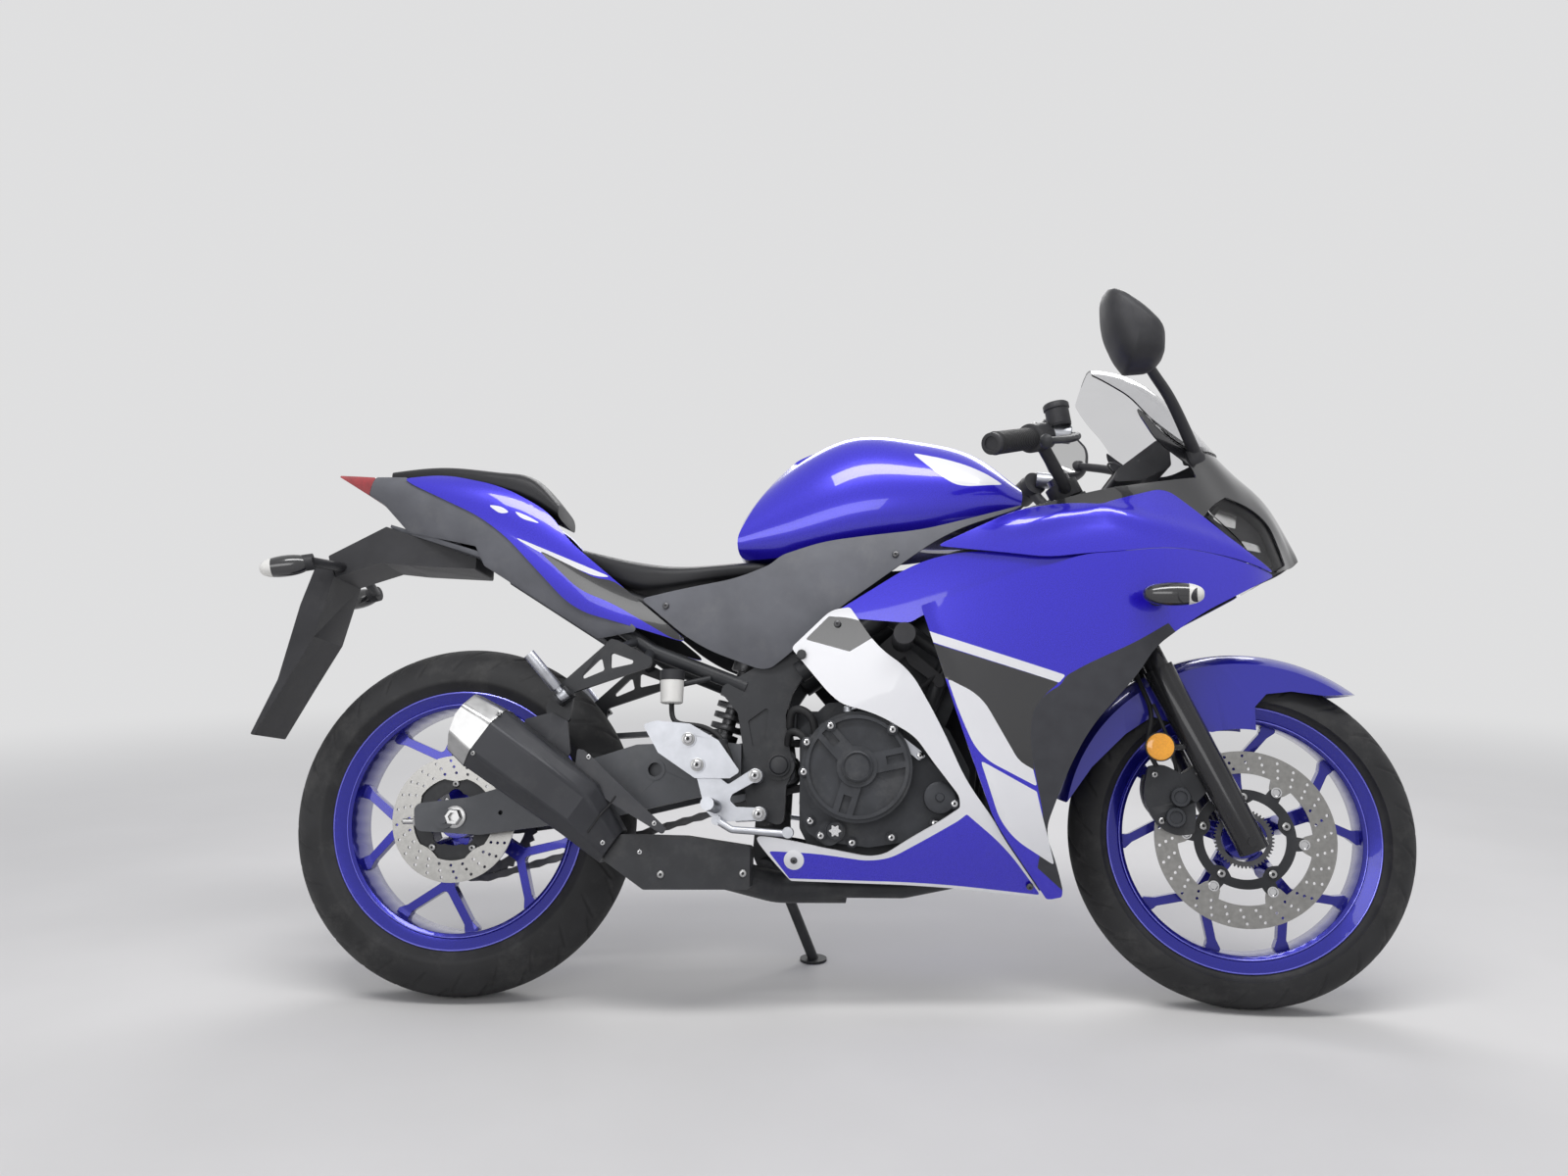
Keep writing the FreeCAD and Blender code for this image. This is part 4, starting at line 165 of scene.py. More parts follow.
TANK_TABLE = (
    (490, ((66, 776), (88, 800), (84, 840), (56, 868), (0, 876))),
    (590, ((92, 776), (112, 812), (112, 880), (82, 940), (0, 966))),
    (700, ((112, 790), (138, 830), (142, 910), (104, 990), (0, 1022))),
    (830, ((124, 806), (150, 850), (150, 920), (108, 984), (0, 1010))),
    (950, ((118, 826), (140, 864), (134, 910), (92, 952), (0, 968))),
    (1010, ((100, 846), (116, 866), (108, 890), (70, 910), (0, 918))),
)

# Side-view outlines
TAIL_BLUE = [(-138, 938), (-119, 925), (20, 857), (74, 817), (206, 681), (300, 653), (421, 616), (297, 717),
             (189, 808), (150, 862), (60, 915), (-60, 944)]
TAIL_GREY = [(-213, 914), (-181, 894), (-128, 838), (13, 803), (30, 767), (249, 629), (330, 640), (300, 662),
             (212, 691), (80, 824), (22, 865), (-119, 932), (-138, 944), (-200, 948)]
COVER_SIDE = [(329, 696), (431, 611), (540, 571), (561, 571), (598, 598), (664, 661), (756, 725), (867, 804),
              (989, 844), (1000, 852), (900, 828), (826, 811), (722, 803), (652, 796), (579, 772), (560, 754),
              (500, 730), (400, 712)]
CREASE_HIGH = [(1032, 746), (1092, 753), (1150, 758), (1248, 772), (1350, 764), (1446, 742)]
CREASE_LOW = [(819, 667), (983, 725), (1031, 733), (1092, 753)]
COWL_FLANK = [(846, 770), (989, 836), (1068, 847), (1130, 842), (1147, 853), (1235, 882), (1257, 878),
              (1318, 830), (1400, 766)] + [(x, z + CREASE_GAP) for x, z in reversed(CREASE_HIGH)]
FAIRING_MAIN = CREASE_LOW + CREASE_HIGH[2:] + [
    (1389, 712), (1286, 659), (1205, 601), (1174, 555), (1093, 467), (1053, 390), (1020, 300), (1040, 250),
    (1054, 204), (1053, 191), (1027, 189), (958, 284), (935, 320), (896, 429), (857, 547)]
DUCT_SIDE = [(663, 655), (846, 766), (1032, 756), (1120, 764), (1120, 742), (1031, 719), (983, 711),
             (819, 652), (800, 640), (720, 648)]
DUCT_LINER = [(668, 650), (760, 705), (880, 772), (930, 768), (900, 700), (800, 650)]
BELLY_SIDE = [(600, 600), (668, 664), (700, 668), (745, 600), (800, 560), (850, 470), (890, 380),
              (935, 318), (956, 282), (1024, 188), (836, 207), (599, 213), (561, 255), (536, 288), (591, 281),
              (660, 267), (730, 254), (757, 258), (799, 285), (848, 313), (881, 335), (880, 354), (832, 416),
              (808, 451), (745, 488), (685, 505), (663, 524)]
LAMP_OUTLINE = [(1328, 852), (1366, 892), (1419, 878), (1460, 850), (1490, 766), (1447, 740), (1408, 760),
                (1388, 796)]
LAMP_BOWL = [(1340, 850), (1368, 880), (1416, 866), (1452, 838), (1476, 770), (1446, 750), (1412, 770),
             (1394, 800)]
NOSE_TOP = [(996, 838), (990, 826), (1068, 837), (1132, 832), (1150, 843), (1237, 871), (1252, 868),
            (1308, 828), (1336, 862), (1369, 884), (1419, 868), (1452, 842), (1480, 769), (1448, 748),
            (1500, 768), (1520, 785), (1504, 856), (1472, 906), (1426, 952), (1380, 996), (1312, 977),
            (1262, 1003), (1214, 1044), (1217, 1028), (1243, 978), (1306, 936), (1314, 914), (1235, 899),
            (1143, 882), (1067, 860)]
SCREEN_SIDE = [(1147, 1122), (1172, 1095), (1203, 1066), (1222, 1038), (1258, 992), (1310, 966), (1374, 980),
               (1402, 990), (1345, 1062), (1255, 1145), (1202, 1190), (1160, 1182)]
TANK_SIDE = [(500, 778), (494, 815), (528, 884), (580, 950), (640, 1010), (700, 1040), (760, 1040),
             (836, 1030), (910, 1000), (983, 960), (1012, 900), (1002, 852), (900, 830), (826, 815),
             (722, 807), (652, 800), (579, 778)]
MIRROR_LOOP = [(1122, 1178), (1140, 1173), (1180, 1142), (1211, 1106), (1215, 1088), (1212, 1056),
               (1194, 1040), (1152, 1037), (1136, 1060), (1121, 1099), (1117, 1128), (1117, 1160)]

# Livery: areas of another colour, by name of the paint
FAIRING_AREAS = (
    ("blade_grey", [(1300, 560), (1229, 641), (1173, 608), (1088, 569), (1054, 550), (1046, 535), (1024, 523),
                    (1000, 497), (995, 447), (1003, 394), (1020, 311), (1010, 240), (1080, 180),
                    (1200, 380)]),
    ("black", [(820, 610), (1043, 539), (1024, 523), (1000, 497), (995, 447), (1003, 394), (977, 412),
               (916, 518), (858, 546), (849, 552)]),
    ("white", [(814, 630), (1054, 551), (1043, 539), (818, 612)]),
    ("white", [(861, 546), (916, 518), (977, 412), (1000, 399), (1007, 371), (911, 420), (880, 490)]),
    ("white", [(914, 413), (1006, 363), (1014, 330), (1038, 244), (974, 284), (945, 318)]),
)
BELLY_AREAS = (
    ("black", [(624, 614), (664, 653), (700, 650), (760, 628), (699, 592)]),
    ("blue", [(562, 262), (597, 217), (836, 212), (1018, 193), (958, 270), (892, 325), (878, 314), (820, 281),
              (766, 252), (728, 247), (641, 259)]),
)
TAIL_AREAS = (
    ("white", [(77, 822), (275, 736), (246, 738), (156, 776)]),
    ("white", [(33, 879), (62, 874), (78, 862), (60, 860)]),
    ("white", [(84, 866), (112, 855), (140, 838), (100, 850)]),
    ("black", [(134, 792), (246, 735), (276, 731), (330, 695), (412, 622), (390, 625), (277, 690),
               (217, 714)]),
)
TANK_AREAS = (
    ("white", [(812, 962), (865, 950), (909, 936), (944, 921), (974, 903), (941, 897), (908, 893), (885, 896),
               (861, 912), (834, 938)]),
)
BOWL_AREAS = (
    ("reflector", [(1352, 850), (1370, 872), (1404, 864), (1396, 836), (1372, 838)]),
    ("reflector", [(1404, 812), (1446, 806), (1450, 792), (1410, 794)]),
)


# Curves

def spline(knots, values):
    """Natural cubic spline through rows of values, as a function of an array."""
    count = len(knots)
    gaps = np.diff(knots)
    matrix = np.zeros((count, count))
    right = np.zeros((count, values.shape[1]))
    matrix[0, 0] = matrix[-1, -1] = 1.0
    for i in range(1, count - 1):
        matrix[i, i - 1:i + 2] = gaps[i - 1], 2 * (gaps[i - 1] + gaps[i]), gaps[i]
        slope_after = (values[i + 1] - values[i]) / gaps[i]
        right[i] = 6 * (slope_after - (values[i] - values[i - 1]) / gaps[i - 1])
    bend = np.linalg.solve(matrix, right)

    def at(t):
        t = np.asarray(t, float)
        i = np.clip(np.searchsorted(knots, t) - 1, 0, count - 2)
        left, after, gap = (knots[i + 1] - t)[:, None], (t - knots[i])[:, None], gaps[i][:, None]
        curve = (bend[i] * left ** 3 + bend[i + 1] * after ** 3) / (6 * gap)
        return (curve + (values[i] / gap - bend[i] * gap / 6) * left
                + (values[i + 1] / gap - bend[i + 1] * gap / 6) * after)
    return at


def along_lengths(points):
    """The length from the first point to each, along a row of points."""
    return np.r_[0.0, np.cumsum(np.linalg.norm(np.diff(points, axis=0), axis=1))]


def smooth_line(points, step):
    """Points about a step apart on a smooth curve through the given ones."""
    points = np.array(points, float)
    lengths = along_lengths(points)
    count = max(int(lengths[-1] / step), 2)
    return spline(lengths, points)(np.linspace(0.0, lengths[-1], count + 1))


def rounded(outline, corner, step=7.0):
    """A closed outline with small arcs at its corners and long ones at its gentle bends."""
    points = np.array(outline, float)
    result = []
    for before, here, after in zip(np.roll(points, 1, 0), points, np.roll(points, -1, 0)):
        back, ahead = before - here, after - here
        back_run, ahead_run = np.linalg.norm(back), np.linalg.norm(ahead)
        back, ahead = back / back_run, ahead / ahead_run
        half = math.acos(max(-1.0, min(1.0, float(back @ ahead)))) / 2.0
        room = CORNER_SHARE * min(back_run, ahead_run)
        reach = room if half > GENTLE_HALF else min(corner / math.tan(half), room)
        count = max(int(2 * reach / step), 3)
        for t in np.linspace(0.0, 1.0, count + 1):
            result.append(here + back * reach * (1 - t) ** 2 + ahead * reach * t ** 2)
    closed = []
    for a, b in zip(result, result[1:] + result[:1]):
        gap = np.linalg.norm(b - a)
        if gap > 0.05:
            parts = max(round(gap / step), 1)
            closed.extend(a + (b - a) * k / parts for k in range(parts))
    return np.array(closed)


def inside(points, polygon):
    """Which points lie inside a polygon, by the even-odd rule."""
    x, y = points[:, 0][:, None], points[:, 1][:, None]
    ax, ay = polygon[:, 0], polygon[:, 1]
    bx, by = np.roll(ax, -1), np.roll(ay, -1)
    crosses = (ay > y) != (by > y)
    with np.errstate(divide="ignore", invalid="ignore"):
        at = (bx - ax) * (y - ay) / (by - ay) + ax
    return (np.sum(crosses & (x < at), axis=1) % 2) == 1


def triangulated(outline, holes=(), lines=(), extra=np.zeros((0, 2))):
    """Constrained triangles of a region: vertices and faces."""
    loops = [outline, *holes, *lines]
    coords = np.vstack([*loops, extra])
    edges = []
    start = 0
    for loop in loops:
        count = len(loop)
        edges.extend((start + i, start + (i + 1) % count) for i in range(count))
        start += count
    flat = delaunay_2d_cdt([Vector(c) for c in coords], edges, [], 0, 1e-4, False)
    points = np.array([tuple(v) for v in flat[0]])
    faces = np.array(flat[2])
    middle = points[faces].mean(axis=1)
    keep = inside(middle, outline)
    for hole in holes:
        keep &= ~inside(middle, hole)
    return points, faces[keep]


def open_edges(faces):
    """The directed edges that only one triangle has."""
    edges = dict.fromkeys(zip(faces.ravel().tolist(), np.roll(faces, -1, axis=1).ravel().tolist()))
    return [(a, b) for a, b in edges if (b, a) not in edges]


class Form:
    """The skin of a body, sampled finely from a table of sections."""

    def __init__(self, table, samples=481, step=5.0):
        self.u = np.linspace(0.0, 1.0, samples)
        rows = []
        for _, profile in table:
            points = np.array(profile, float)
            lengths = along_lengths(points)
            rows.append(spline(lengths / lengths[-1], points)(self.u).ravel())
        stations = np.array([x for x, _ in table], float)
        self.step = step
        self.x = np.arange(stations[0], stations[-1] + step, step)
        self.grid = spline(stations, np.array(rows))(self.x).reshape(len(self.x), samples, 2)
        along = np.gradient(self.grid, self.step, axis=0)
        across = np.gradient(self.grid, axis=1)
        normal = np.stack([along[:, :, 1] * across[:, :, 0] - along[:, :, 0] * across[:, :, 1],
                           across[:, :, 1], -across[:, :, 0]], axis=2)
        normal[:, -1] = normal[:, -1] * (1.0, 0.0, 1.0)
        self.normal = normal / np.linalg.norm(normal, axis=2)[:, :, None]
        self.span = along_lengths(self.grid[len(self.x) // 2])[-1]

    def cell(self, x):
        """The section before each x, and how far on to the next one it lies."""
        at = np.clip((x - self.x[0]) / self.step, 0, len(self.x) - 1.001)
        low = at.astype(int)
        return low, at - low

    def invert(self, x, z):
        """The share along each section at which it reaches a height."""
        low, part = self.cell(np.asarray(x, float))
        share = []
        for i, p, height in zip(low, part, z):
            column = self.grid[i, :, 1] * (1 - p) + self.grid[i + 1, :, 1] * p
            share.append(np.interp(height, column, self.u))
        return np.array(share)

    def at(self, x, u, table):
        """A table's values between its sections and its samples."""
        low, part = self.cell(x)
        across = np.clip(u, 0, 1) * (len(self.u) - 1)
        k = np.minimum(across.astype(int), len(self.u) - 2)
        q = (across - k)[:, None]
        p = part[:, None]
        near = table[low, k] * (1 - q) + table[low, k + 1] * q
        far = table[low + 1, k] * (1 - q) + table[low + 1, k + 1] * q
        return near * (1 - p) + far * p

    def points(self, x, u, outset):
        """Points on the left skin moved out along its normals."""
        yz = self.at(x, u, self.grid)
        normal = self.at(x, u, self.normal)
        normal /= np.linalg.norm(normal, axis=1)[:, None]
        moved = np.column_stack([x, yz]) + normal * np.reshape(outset, (-1, 1))
        crown = u > 0.9995
        moved[crown, 1] = 0.0
        moved[:, 1] = np.maximum(moved[:, 1], 0.0)
        return moved


BODY = Form(BODY_TABLE)
TAIL = Form(TAIL_TABLE)
COVER = Form(COVER_TABLE)
TANK = Form(TANK_TABLE)


# Materials

# Each paint by its plain name: colour, roughness, and what else sets it apart
PAINTS = {
    "blue": ((0.02, 0.009, 0.54), 0.26, dict(metal=0.35, coat=1.0, scale=1500)),
    "fender_blue": ((0.01, 0.009, 0.34), 0.28, dict(metal=0.3, coat=1.0, scale=1500)),
    "rim_blue": ((0.01, 0.01, 0.27), 0.24, dict(metal=0.6, coat=0.7, spread=0.14, scale=900)),
    # A lighter copy of the rim blue, used as a painted highlight along the rims' edges
    "rim_light": ((0.16, 0.16, 0.75), 0.2, dict(metal=0.5, coat=1.0, spread=0.05, scale=60)),
    "white": ((0.74, 0.74, 0.76), 0.28, dict(coat=0.8, spread=0.02, scale=5)),
    "black": ((0.012, 0.012, 0.014), 0.22, dict(coat=1.0, spread=0.1, scale=8)),
    "blade_grey": ((0.045, 0.046, 0.052), 0.55, dict(dull=True, spread=0.1, grain=0.25, grain_scale=2600)),
    "cover_grey": ((0.118, 0.121, 0.135), 0.5, dict(dull=True, scale=18, grain=0.3, grain_scale=2400,
                                                    wear=0.12)),
    "plastic_black": ((0.03, 0.03, 0.033), 0.45, dict(dull=True, spread=0.15, scale=22, grain=0.3,
                                                      wear=0.05)),
    "frame_black": ((0.028, 0.029, 0.032), 0.4, dict(dull=True, spread=0.15, scale=25, grain=0.2, wear=0.08)),
    "arm_grey": ((0.085, 0.088, 0.095), 0.45, dict(dull=True, metal=0.3, scale=20, grain=0.2, wear=0.1)),
    "engine_black": ((0.04, 0.042, 0.047), 0.42, dict(dull=True, metal=0.2, spread=0.2, scale=30, grain=0.35,
                                                      grain_scale=1500, wear=0.12)),
    "muffler_black": ((0.04, 0.041, 0.046), 0.36, dict(dull=True, metal=0.2, scale=12, grain=0.12,
                                                       wear=0.06)),
    "fork_black": ((0.022, 0.022, 0.024), 0.24, dict(dull=True, metal=0.3, coat=0.4, spread=0.1, scale=15)),
    "tyre": ((0.024, 0.024, 0.025), 0.62, dict(dull=True, spread=0.25, scale=12, grain=0.35, grain_scale=1800,
                                               wear=0.1)),
    "rubber": ((0.02, 0.02, 0.021), 0.55, dict(dull=True, spread=0.15, scale=30, grain=0.3)),
    "vinyl": ((0.022, 0.022, 0.024), 0.38, dict(dull=True, scale=16, grain=0.5, grain_scale=1400)),
    "steel": ((0.42, 0.42, 0.42), 0.28, dict(metal=1.0, scale=60, grain=0.06)),
    "disc": ((0.3, 0.295, 0.285), 0.3, dict(metal=1.0, spread=0.1, scale=120, grain=0.1, grain_scale=400)),
    "alloy": ((0.42, 0.43, 0.46), 0.38, dict(metal=1.0, spread=0.14, scale=30, grain=0.15)),
    "chrome": ((0.6, 0.6, 0.61), 0.12, dict(metal=1.0, spread=0.03, scale=10)),
    "dark_steel": ((0.1, 0.1, 0.105), 0.35, dict(metal=0.8, spread=0.2, scale=50, grain=0.15)),
    "orange": ((0.95, 0.38, 0.01), 0.18, dict(coat=1.0, scale=300)),
    "red_lens": ((0.3, 0.012, 0.018), 0.12, dict(coat=1.0, spread=0.2, scale=60)),
    "reflector": ((0.86, 0.86, 0.86), 0.16, dict(metal=0.9, spread=0.05)),
    "mirror": ((0.62, 0.62, 0.62), 0.03, dict(metal=1.0, spread=0.02, scale=4)),
    "screen_display": ((0.02, 0.022, 0.02), 0.15, dict(coat=1.0, spread=0.1, scale=20)),
    "reservoir": ((0.7, 0.69, 0.66), 0.35, dict(spread=0.06, scale=30)),
    "smoke": ((0.8, 0.8, 0.81), 0.02, dict(clear=True, spread=0.03, scale=6)),
    "lamp_glass": ((0.82, 0.82, 0.82), 0.02, dict(clear=True, spread=0.03, scale=6)),
}
COAT_ROUGHNESS = 0.03
DULL_SPECULAR = 0.28
CLEAR_IOR = 1.18
GRAIN_DEPTH = 0.0006
RAMP_STOPS = (0.3, 0.7)
DUST = (0.32, 0.31, 0.29, 1)
MIX_A, MIX_B, MIX_RESULT = 6, 7, 2


def fill(node, sockets):
    """Sets a node's inputs, each to a value or to another node's output."""
    for name, value in sockets.items():
        if isinstance(value, bpy.types.NodeSocket):
            node.id_data.links.new(value, node.inputs[name])
        else:
            node.inputs[name].default_value = value


def add_node(tree, kind, sockets, **settings):
    """A new shader node with its settings made and its inputs filled."""
    node = tree.nodes.new("ShaderNode" + kind)
    for setting, value in settings.items():
        setattr(node, setting, value)
    fill(node, sockets)
    return node


def noise(tree, place, scale, detail, rough=0.5):
    """A cloud of values from 0 to 1 over a surface."""
    sockets = {"Vector": place, "Scale": scale, "Detail": detail, "Roughness": rough}
    return add_node(tree, "TexNoise", sockets).outputs["Fac"]


def worn(tree, place, base, amount):
    """Pale scuffs and dust in broken patches."""
    patches = noise(tree, place, 14.0, 8.0, 0.7)
    sockets = {"Value": patches, "From Min": 0.52, "From Max": 0.75, "To Max": amount}
    mask = add_node(tree, "MapRange", sockets)
    mix = {"Factor": mask.outputs["Result"], MIX_A: base, MIX_B: DUST}
    return add_node(tree, "Mix", mix, data_type="RGBA").outputs[MIX_RESULT]


def finish(name, colour, rough, metal=0.0, coat=0.0, spread=0.12, scale=40.0, grain=0.0, grain_scale=900.0,
           wear=0.0, dull=False, clear=False):
    """A surface with soft colour changes, uneven gloss, a fine grain and worn patches."""
    material = bpy.data.materials.new(name)
    material.use_nodes = True
    tree = material.node_tree
    place = add_node(tree, "TexCoord", {}).outputs["Object"]
    cloud = noise(tree, place, scale, 5.0)
    ramp = add_node(tree, "ValToRGB", {"Fac": cloud})
    dark = [c * (1 - spread) for c in colour]
    light = [min(c * (1 + spread) + 0.01 * spread, 1.0) for c in colour]
    for stop, position, shade in zip(ramp.color_ramp.elements, RAMP_STOPS, (dark, light)):
        stop.position = position
        stop.color = (*shade, 1)
    gloss = add_node(tree, "MapRange", {"Value": cloud, "To Min": rough * 0.85,
                                        "To Max": min(rough * 1.2 + 0.02, 1.0)})
    base = ramp.outputs["Color"]
    sockets = {"Base Color": worn(tree, place, base, wear) if wear else base, "Metallic": metal,
               "Roughness": gloss.outputs["Result"], "Coat Weight": coat, "Coat Roughness": COAT_ROUGHNESS}
    if dull:
        sockets["Specular IOR Level"] = DULL_SPECULAR
    if clear:
        sockets.update({"Transmission Weight": 1.0, "IOR": CLEAR_IOR})
    if grain:
        fine = noise(tree, place, grain_scale, 3.0)
        bump = add_node(tree, "Bump", {"Strength": grain, "Distance": GRAIN_DEPTH, "Height": fine})
        sockets["Normal"] = bump.outputs["Normal"]
    fill(tree.nodes["Principled BSDF"], sockets)
    return material


@cache
def paint(name):
    """A material by its plain name, made when first asked for."""
    colour, rough, rest = PAINTS[name]
    return finish(name, colour, rough, **rest)


# Pieces

# Weld distances are in metres, like the meshes they act on
SKIN_WELD = 0.00004
NODE_WELD = 0.00003
PIECE_EDGE_ANGLE = 40.0
NODE_EDGE_ANGLE = 50.0


class Shape:
    """Points in millimetres, faces and the paint of each face, gathered for one piece."""

    def __init__(self):
        self.points = []
        self.faces = []
        self.paints = []
        self.count = 0

    def add(self, points, faces, colours):
        """More points and faces, in one colour or in one for each face."""
        self.points.append(np.asarray(points, float))
        self.faces.extend([int(i) + self.count for i in face] for face in faces)
        self.paints.extend([colours] * len(faces) if isinstance(colours, str) else colours)
        self.count += len(points)
        return self

    def join(self, *others):
        for other in others:
            self.add(np.vstack(other.points), other.faces, other.paints)
        return self

    def flipped(self):
        """The mirrored shape, on the other side of the middle plane."""
        faces = [face[::-1] for face in self.faces]
        return Shape().add(np.vstack(self.points) * (1, -1, 1), faces, self.paints)


def both(shape):
    """The shape and its mirror image."""
    return Shape().join(shape, shape.flipped())


def put(name, data):
    """A new object in the scene."""
    thing = bpy.data.objects.new(name, data)
    bpy.context.scene.collection.objects.link(thing)
    return thing


def weld(piece, distance):
    """Merges points that lie closer together than a distance in metres."""
    piece.modifiers.new("Weld", "WELD").merge_threshold = distance


def soften(piece, width, angle):
    """Rounds the edges of a piece that are sharper than an angle."""
    edge = piece.modifiers.new("Edge", "BEVEL")
    edge.width = width / 1000.0
    edge.segments = 2
    edge.limit_method = "ANGLE"
    edge.angle_limit = math.radians(angle)
    edge.harden_normals = True


def make(name, shape, body, nodes=(), placing=UPRIGHT, bevel=0.0, sharp=35.0, merge=False):
    """Turns a shape into a piece that rides on a body and stands for its nodes."""
    colours = sorted(set(shape.paints))
    mesh = bpy.data.meshes.new(name)
    matrix = np.array(placing)
    points = np.vstack(shape.points) @ matrix[:3, :3].T + matrix[:3, 3]
    mesh.from_pydata(points.tolist(), [], shape.faces)
    for colour in colours:
        mesh.materials.append(paint(colour))
    mesh.polygons.foreach_set("material_index", [colours.index(c) for c in shape.paints])
    mesh.update()
    mesh.shade_smooth()
    piece = put(name, mesh)
    if merge:
        weld(piece, SKIN_WELD)
    if bevel:
        soften(piece, bevel, PIECE_EDGE_ANGLE)
    else:
        mesh.set_sharp_from_angle(angle=math.radians(sharp))
    if nodes:
        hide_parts(*nodes)
    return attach(piece, body)


def skin(form, outline, corner=4.0, outset=COWL_STEP, wall=PANEL_WALL, colour="blue", inner="plastic_black",
         areas=(), relief=None, step=GRID_STEP):
    """A panel on the left of the middle plane: outer skin, inner skin and rim, with its livery."""
    def flat(loop):
        """A side-view loop as lengths along the machine and up round its skin."""
        return np.column_stack([loop[:, 0], form.invert(loop[:, 0], loop[:, 1]) * form.span])

    edge = flat(rounded(outline, corner))
    lines = [flat(rounded(area, AREA_CORNER)) for _, area in areas]
    low, high = edge.min(axis=0), edge.max(axis=0)
    xs, us = np.meshgrid(np.arange(low[0], high[0], step), np.arange(low[1], high[1], step))
    grid = np.column_stack([xs.ravel(), us.ravel()])
    grid = grid[inside(grid, edge)]
    rims = np.vstack([edge, *lines])
    gap = np.array([np.min(np.hypot(*(rims - point).T)) for point in grid])
    points, faces = triangulated(edge, (), lines, grid[gap > step * 0.4])
    middle = points[faces].mean(axis=1)
    colours = np.full(len(faces), colour, dtype=object)
    for (name, _), line in zip(areas, lines):
        colours[inside(middle, line)] = name
    x, u = points[:, 0], points[:, 1] / form.span
    base = form.points(x, u, 0.0)
    raised = outset + (relief(base[:, 0], base[:, 2]) if relief else 0.0)
    outer = form.points(x, u, raised)
    under = form.points(x, u, raised - wall)
    count = len(outer)
    faces = faces[:, ::-1]
    rim = [(a, b) for a, b in open_edges(faces) if max(outer[a][1], outer[b][1]) >= 0.01]
    walls = [(b, a, a + count, b + count) for a, b in rim]
    return Shape().add(np.vstack([outer, under]), [*faces, *(faces[:, ::-1] + count), *walls],
                       [*colours, *[inner] * len(faces), *[colour] * len(walls)])


def stacked(rings, colour, wrap=False, ends=(True, True)):
    """A skin over rings of equally many points, closed by flat ends or back onto its first ring."""
    rows, count = len(rings), len(rings[0])
    faces = []
    for i in range(rows if wrap else rows - 1):
        a, b = i * count, (i + 1) % rows * count
        faces.extend((a + k, a + (k + 1) % count, b + (k + 1) % count, b + k) for k in range(count))
    if ends[0]:
        faces.append(range(count)[::-1])
    if ends[1]:
        faces.append(range((rows - 1) * count, rows * count))
    return Shape().add(np.vstack(rings), faces, colour)


def lathe(profile, centre, segments, colour, closed=True, offsets=0.0):
    """Turns (radius, y) points about the cross axis through a centre."""
    radius, y = np.array(profile, float).T[:, :, None]
    angle = np.arange(segments) * 2 * math.pi / segments
    x = centre.x + (radius + offsets) * np.cos(angle)
    z = centre.z + (radius + offsets) * np.sin(angle)
    rings = np.stack([x, np.broadcast_to(centre.y + y, x.shape), z], axis=2)
    return stacked(rings[::-1], colour, closed, (False, False))


def plate(outline, y0, y1, colour, corner=3.0, holes=()):
    """A flat plate across Y from a side-view outline with holes; corner None keeps the outline's points."""
    edge = np.asarray(outline, float) if corner is None else rounded(outline, corner, 6.0)
    points, faces = triangulated(edge, holes)
    count = len(points)
    walls = [(a, b, b + count, a + count) for a, b in open_edges(faces)]
    return Shape().add(np.vstack([np.insert(points, 1, y, axis=1) for y in (y0, y1)]),
                       [*faces[:, ::-1], *(faces + count), *walls], colour)


def hose(points, radius, colour, step=6.0, sides=12, taper=1.0):
    """A round tube along a smooth curve through points, whose radius grows evenly to taper times."""
    line = smooth_line(points, step)
    tangent = np.gradient(line, axis=0)
    tangent /= np.linalg.norm(tangent, axis=1)[:, None]
    side = np.cross(tangent[0], (0.3, 0.2, 0.9))
    angle = np.linspace(0, 2 * math.pi, sides, endpoint=False)
    rings = []
    for point, along, growth in zip(line, tangent, np.linspace(1.0, taper, len(line))):
        side = side - along * (side @ along)
        side /= np.linalg.norm(side)
        ring = np.outer(np.cos(angle), side) + np.outer(np.sin(angle), np.cross(along, side))
        rings.append(point + radius * growth * ring)
    return stacked(rings, colour)


def turned(profile, start, axis, colour, sides=24):
    """Turns (distance along the axis, radius) points about any axis, with flat ends."""
    axis = np.array(axis, float)
    axis /= np.linalg.norm(axis)
    side = np.cross(axis, (0.1, 0.2, 0.97))
    side /= np.linalg.norm(side)
    angle = np.linspace(0, 2 * math.pi, sides, endpoint=False)
    ring = np.outer(np.cos(angle), side) + np.outer(np.sin(angle), np.cross(axis, side))
    return stacked([np.array(start) + axis * t + ring * r for t, r in profile], colour)


# Bolts, and where they sit

RAY_START_Y = -450.0
# Small moves in metres, for a ray that slips between two pieces
RAY_NUDGES = (0.0, 0.0004, 0.003, -0.003)
BOLT_SINK = 0.5


def bolt(place, axis, radius, colour="chrome"):
    """A domed head with a six-sided socket."""
    head = turned([(0, radius), (0.25 * radius, radius), (0.5 * radius, 0.88 * radius),
                   (0.66 * radius, 0.55 * radius)], place, axis, colour, 18)
    socket = turned([(0.6 * radius, 0.42 * radius), (0.68 * radius, 0.42 * radius)], place, axis, "rubber", 6)
    return head.join(socket)


def side_y(x, z, *nodes):
    """How far out some nodes reach on their right side, on a line across the machine."""
    start = UPRIGHT @ Vector((x, RAY_START_Y, z))
    way = (UPRIGHT.to_3x3() @ Y_AXIS).normalized()
    found = []
    for node in nodes:
        for nudge in RAY_NUDGES:
            hit, place, _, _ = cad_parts[node].ray_cast(start + Vector((nudge, 0, nudge)), way)
            if hit:
                found.append((UPRIGHT.inverted() @ place).y)
    return min(found)


def side_bolts(places, radius, colour, *nodes):
    """Bolts set on the right side of some nodes."""
    return [bolt((x, side_y(x, z, *nodes) + BOLT_SINK, z), RIGHT, radius, colour) for x, z in places]


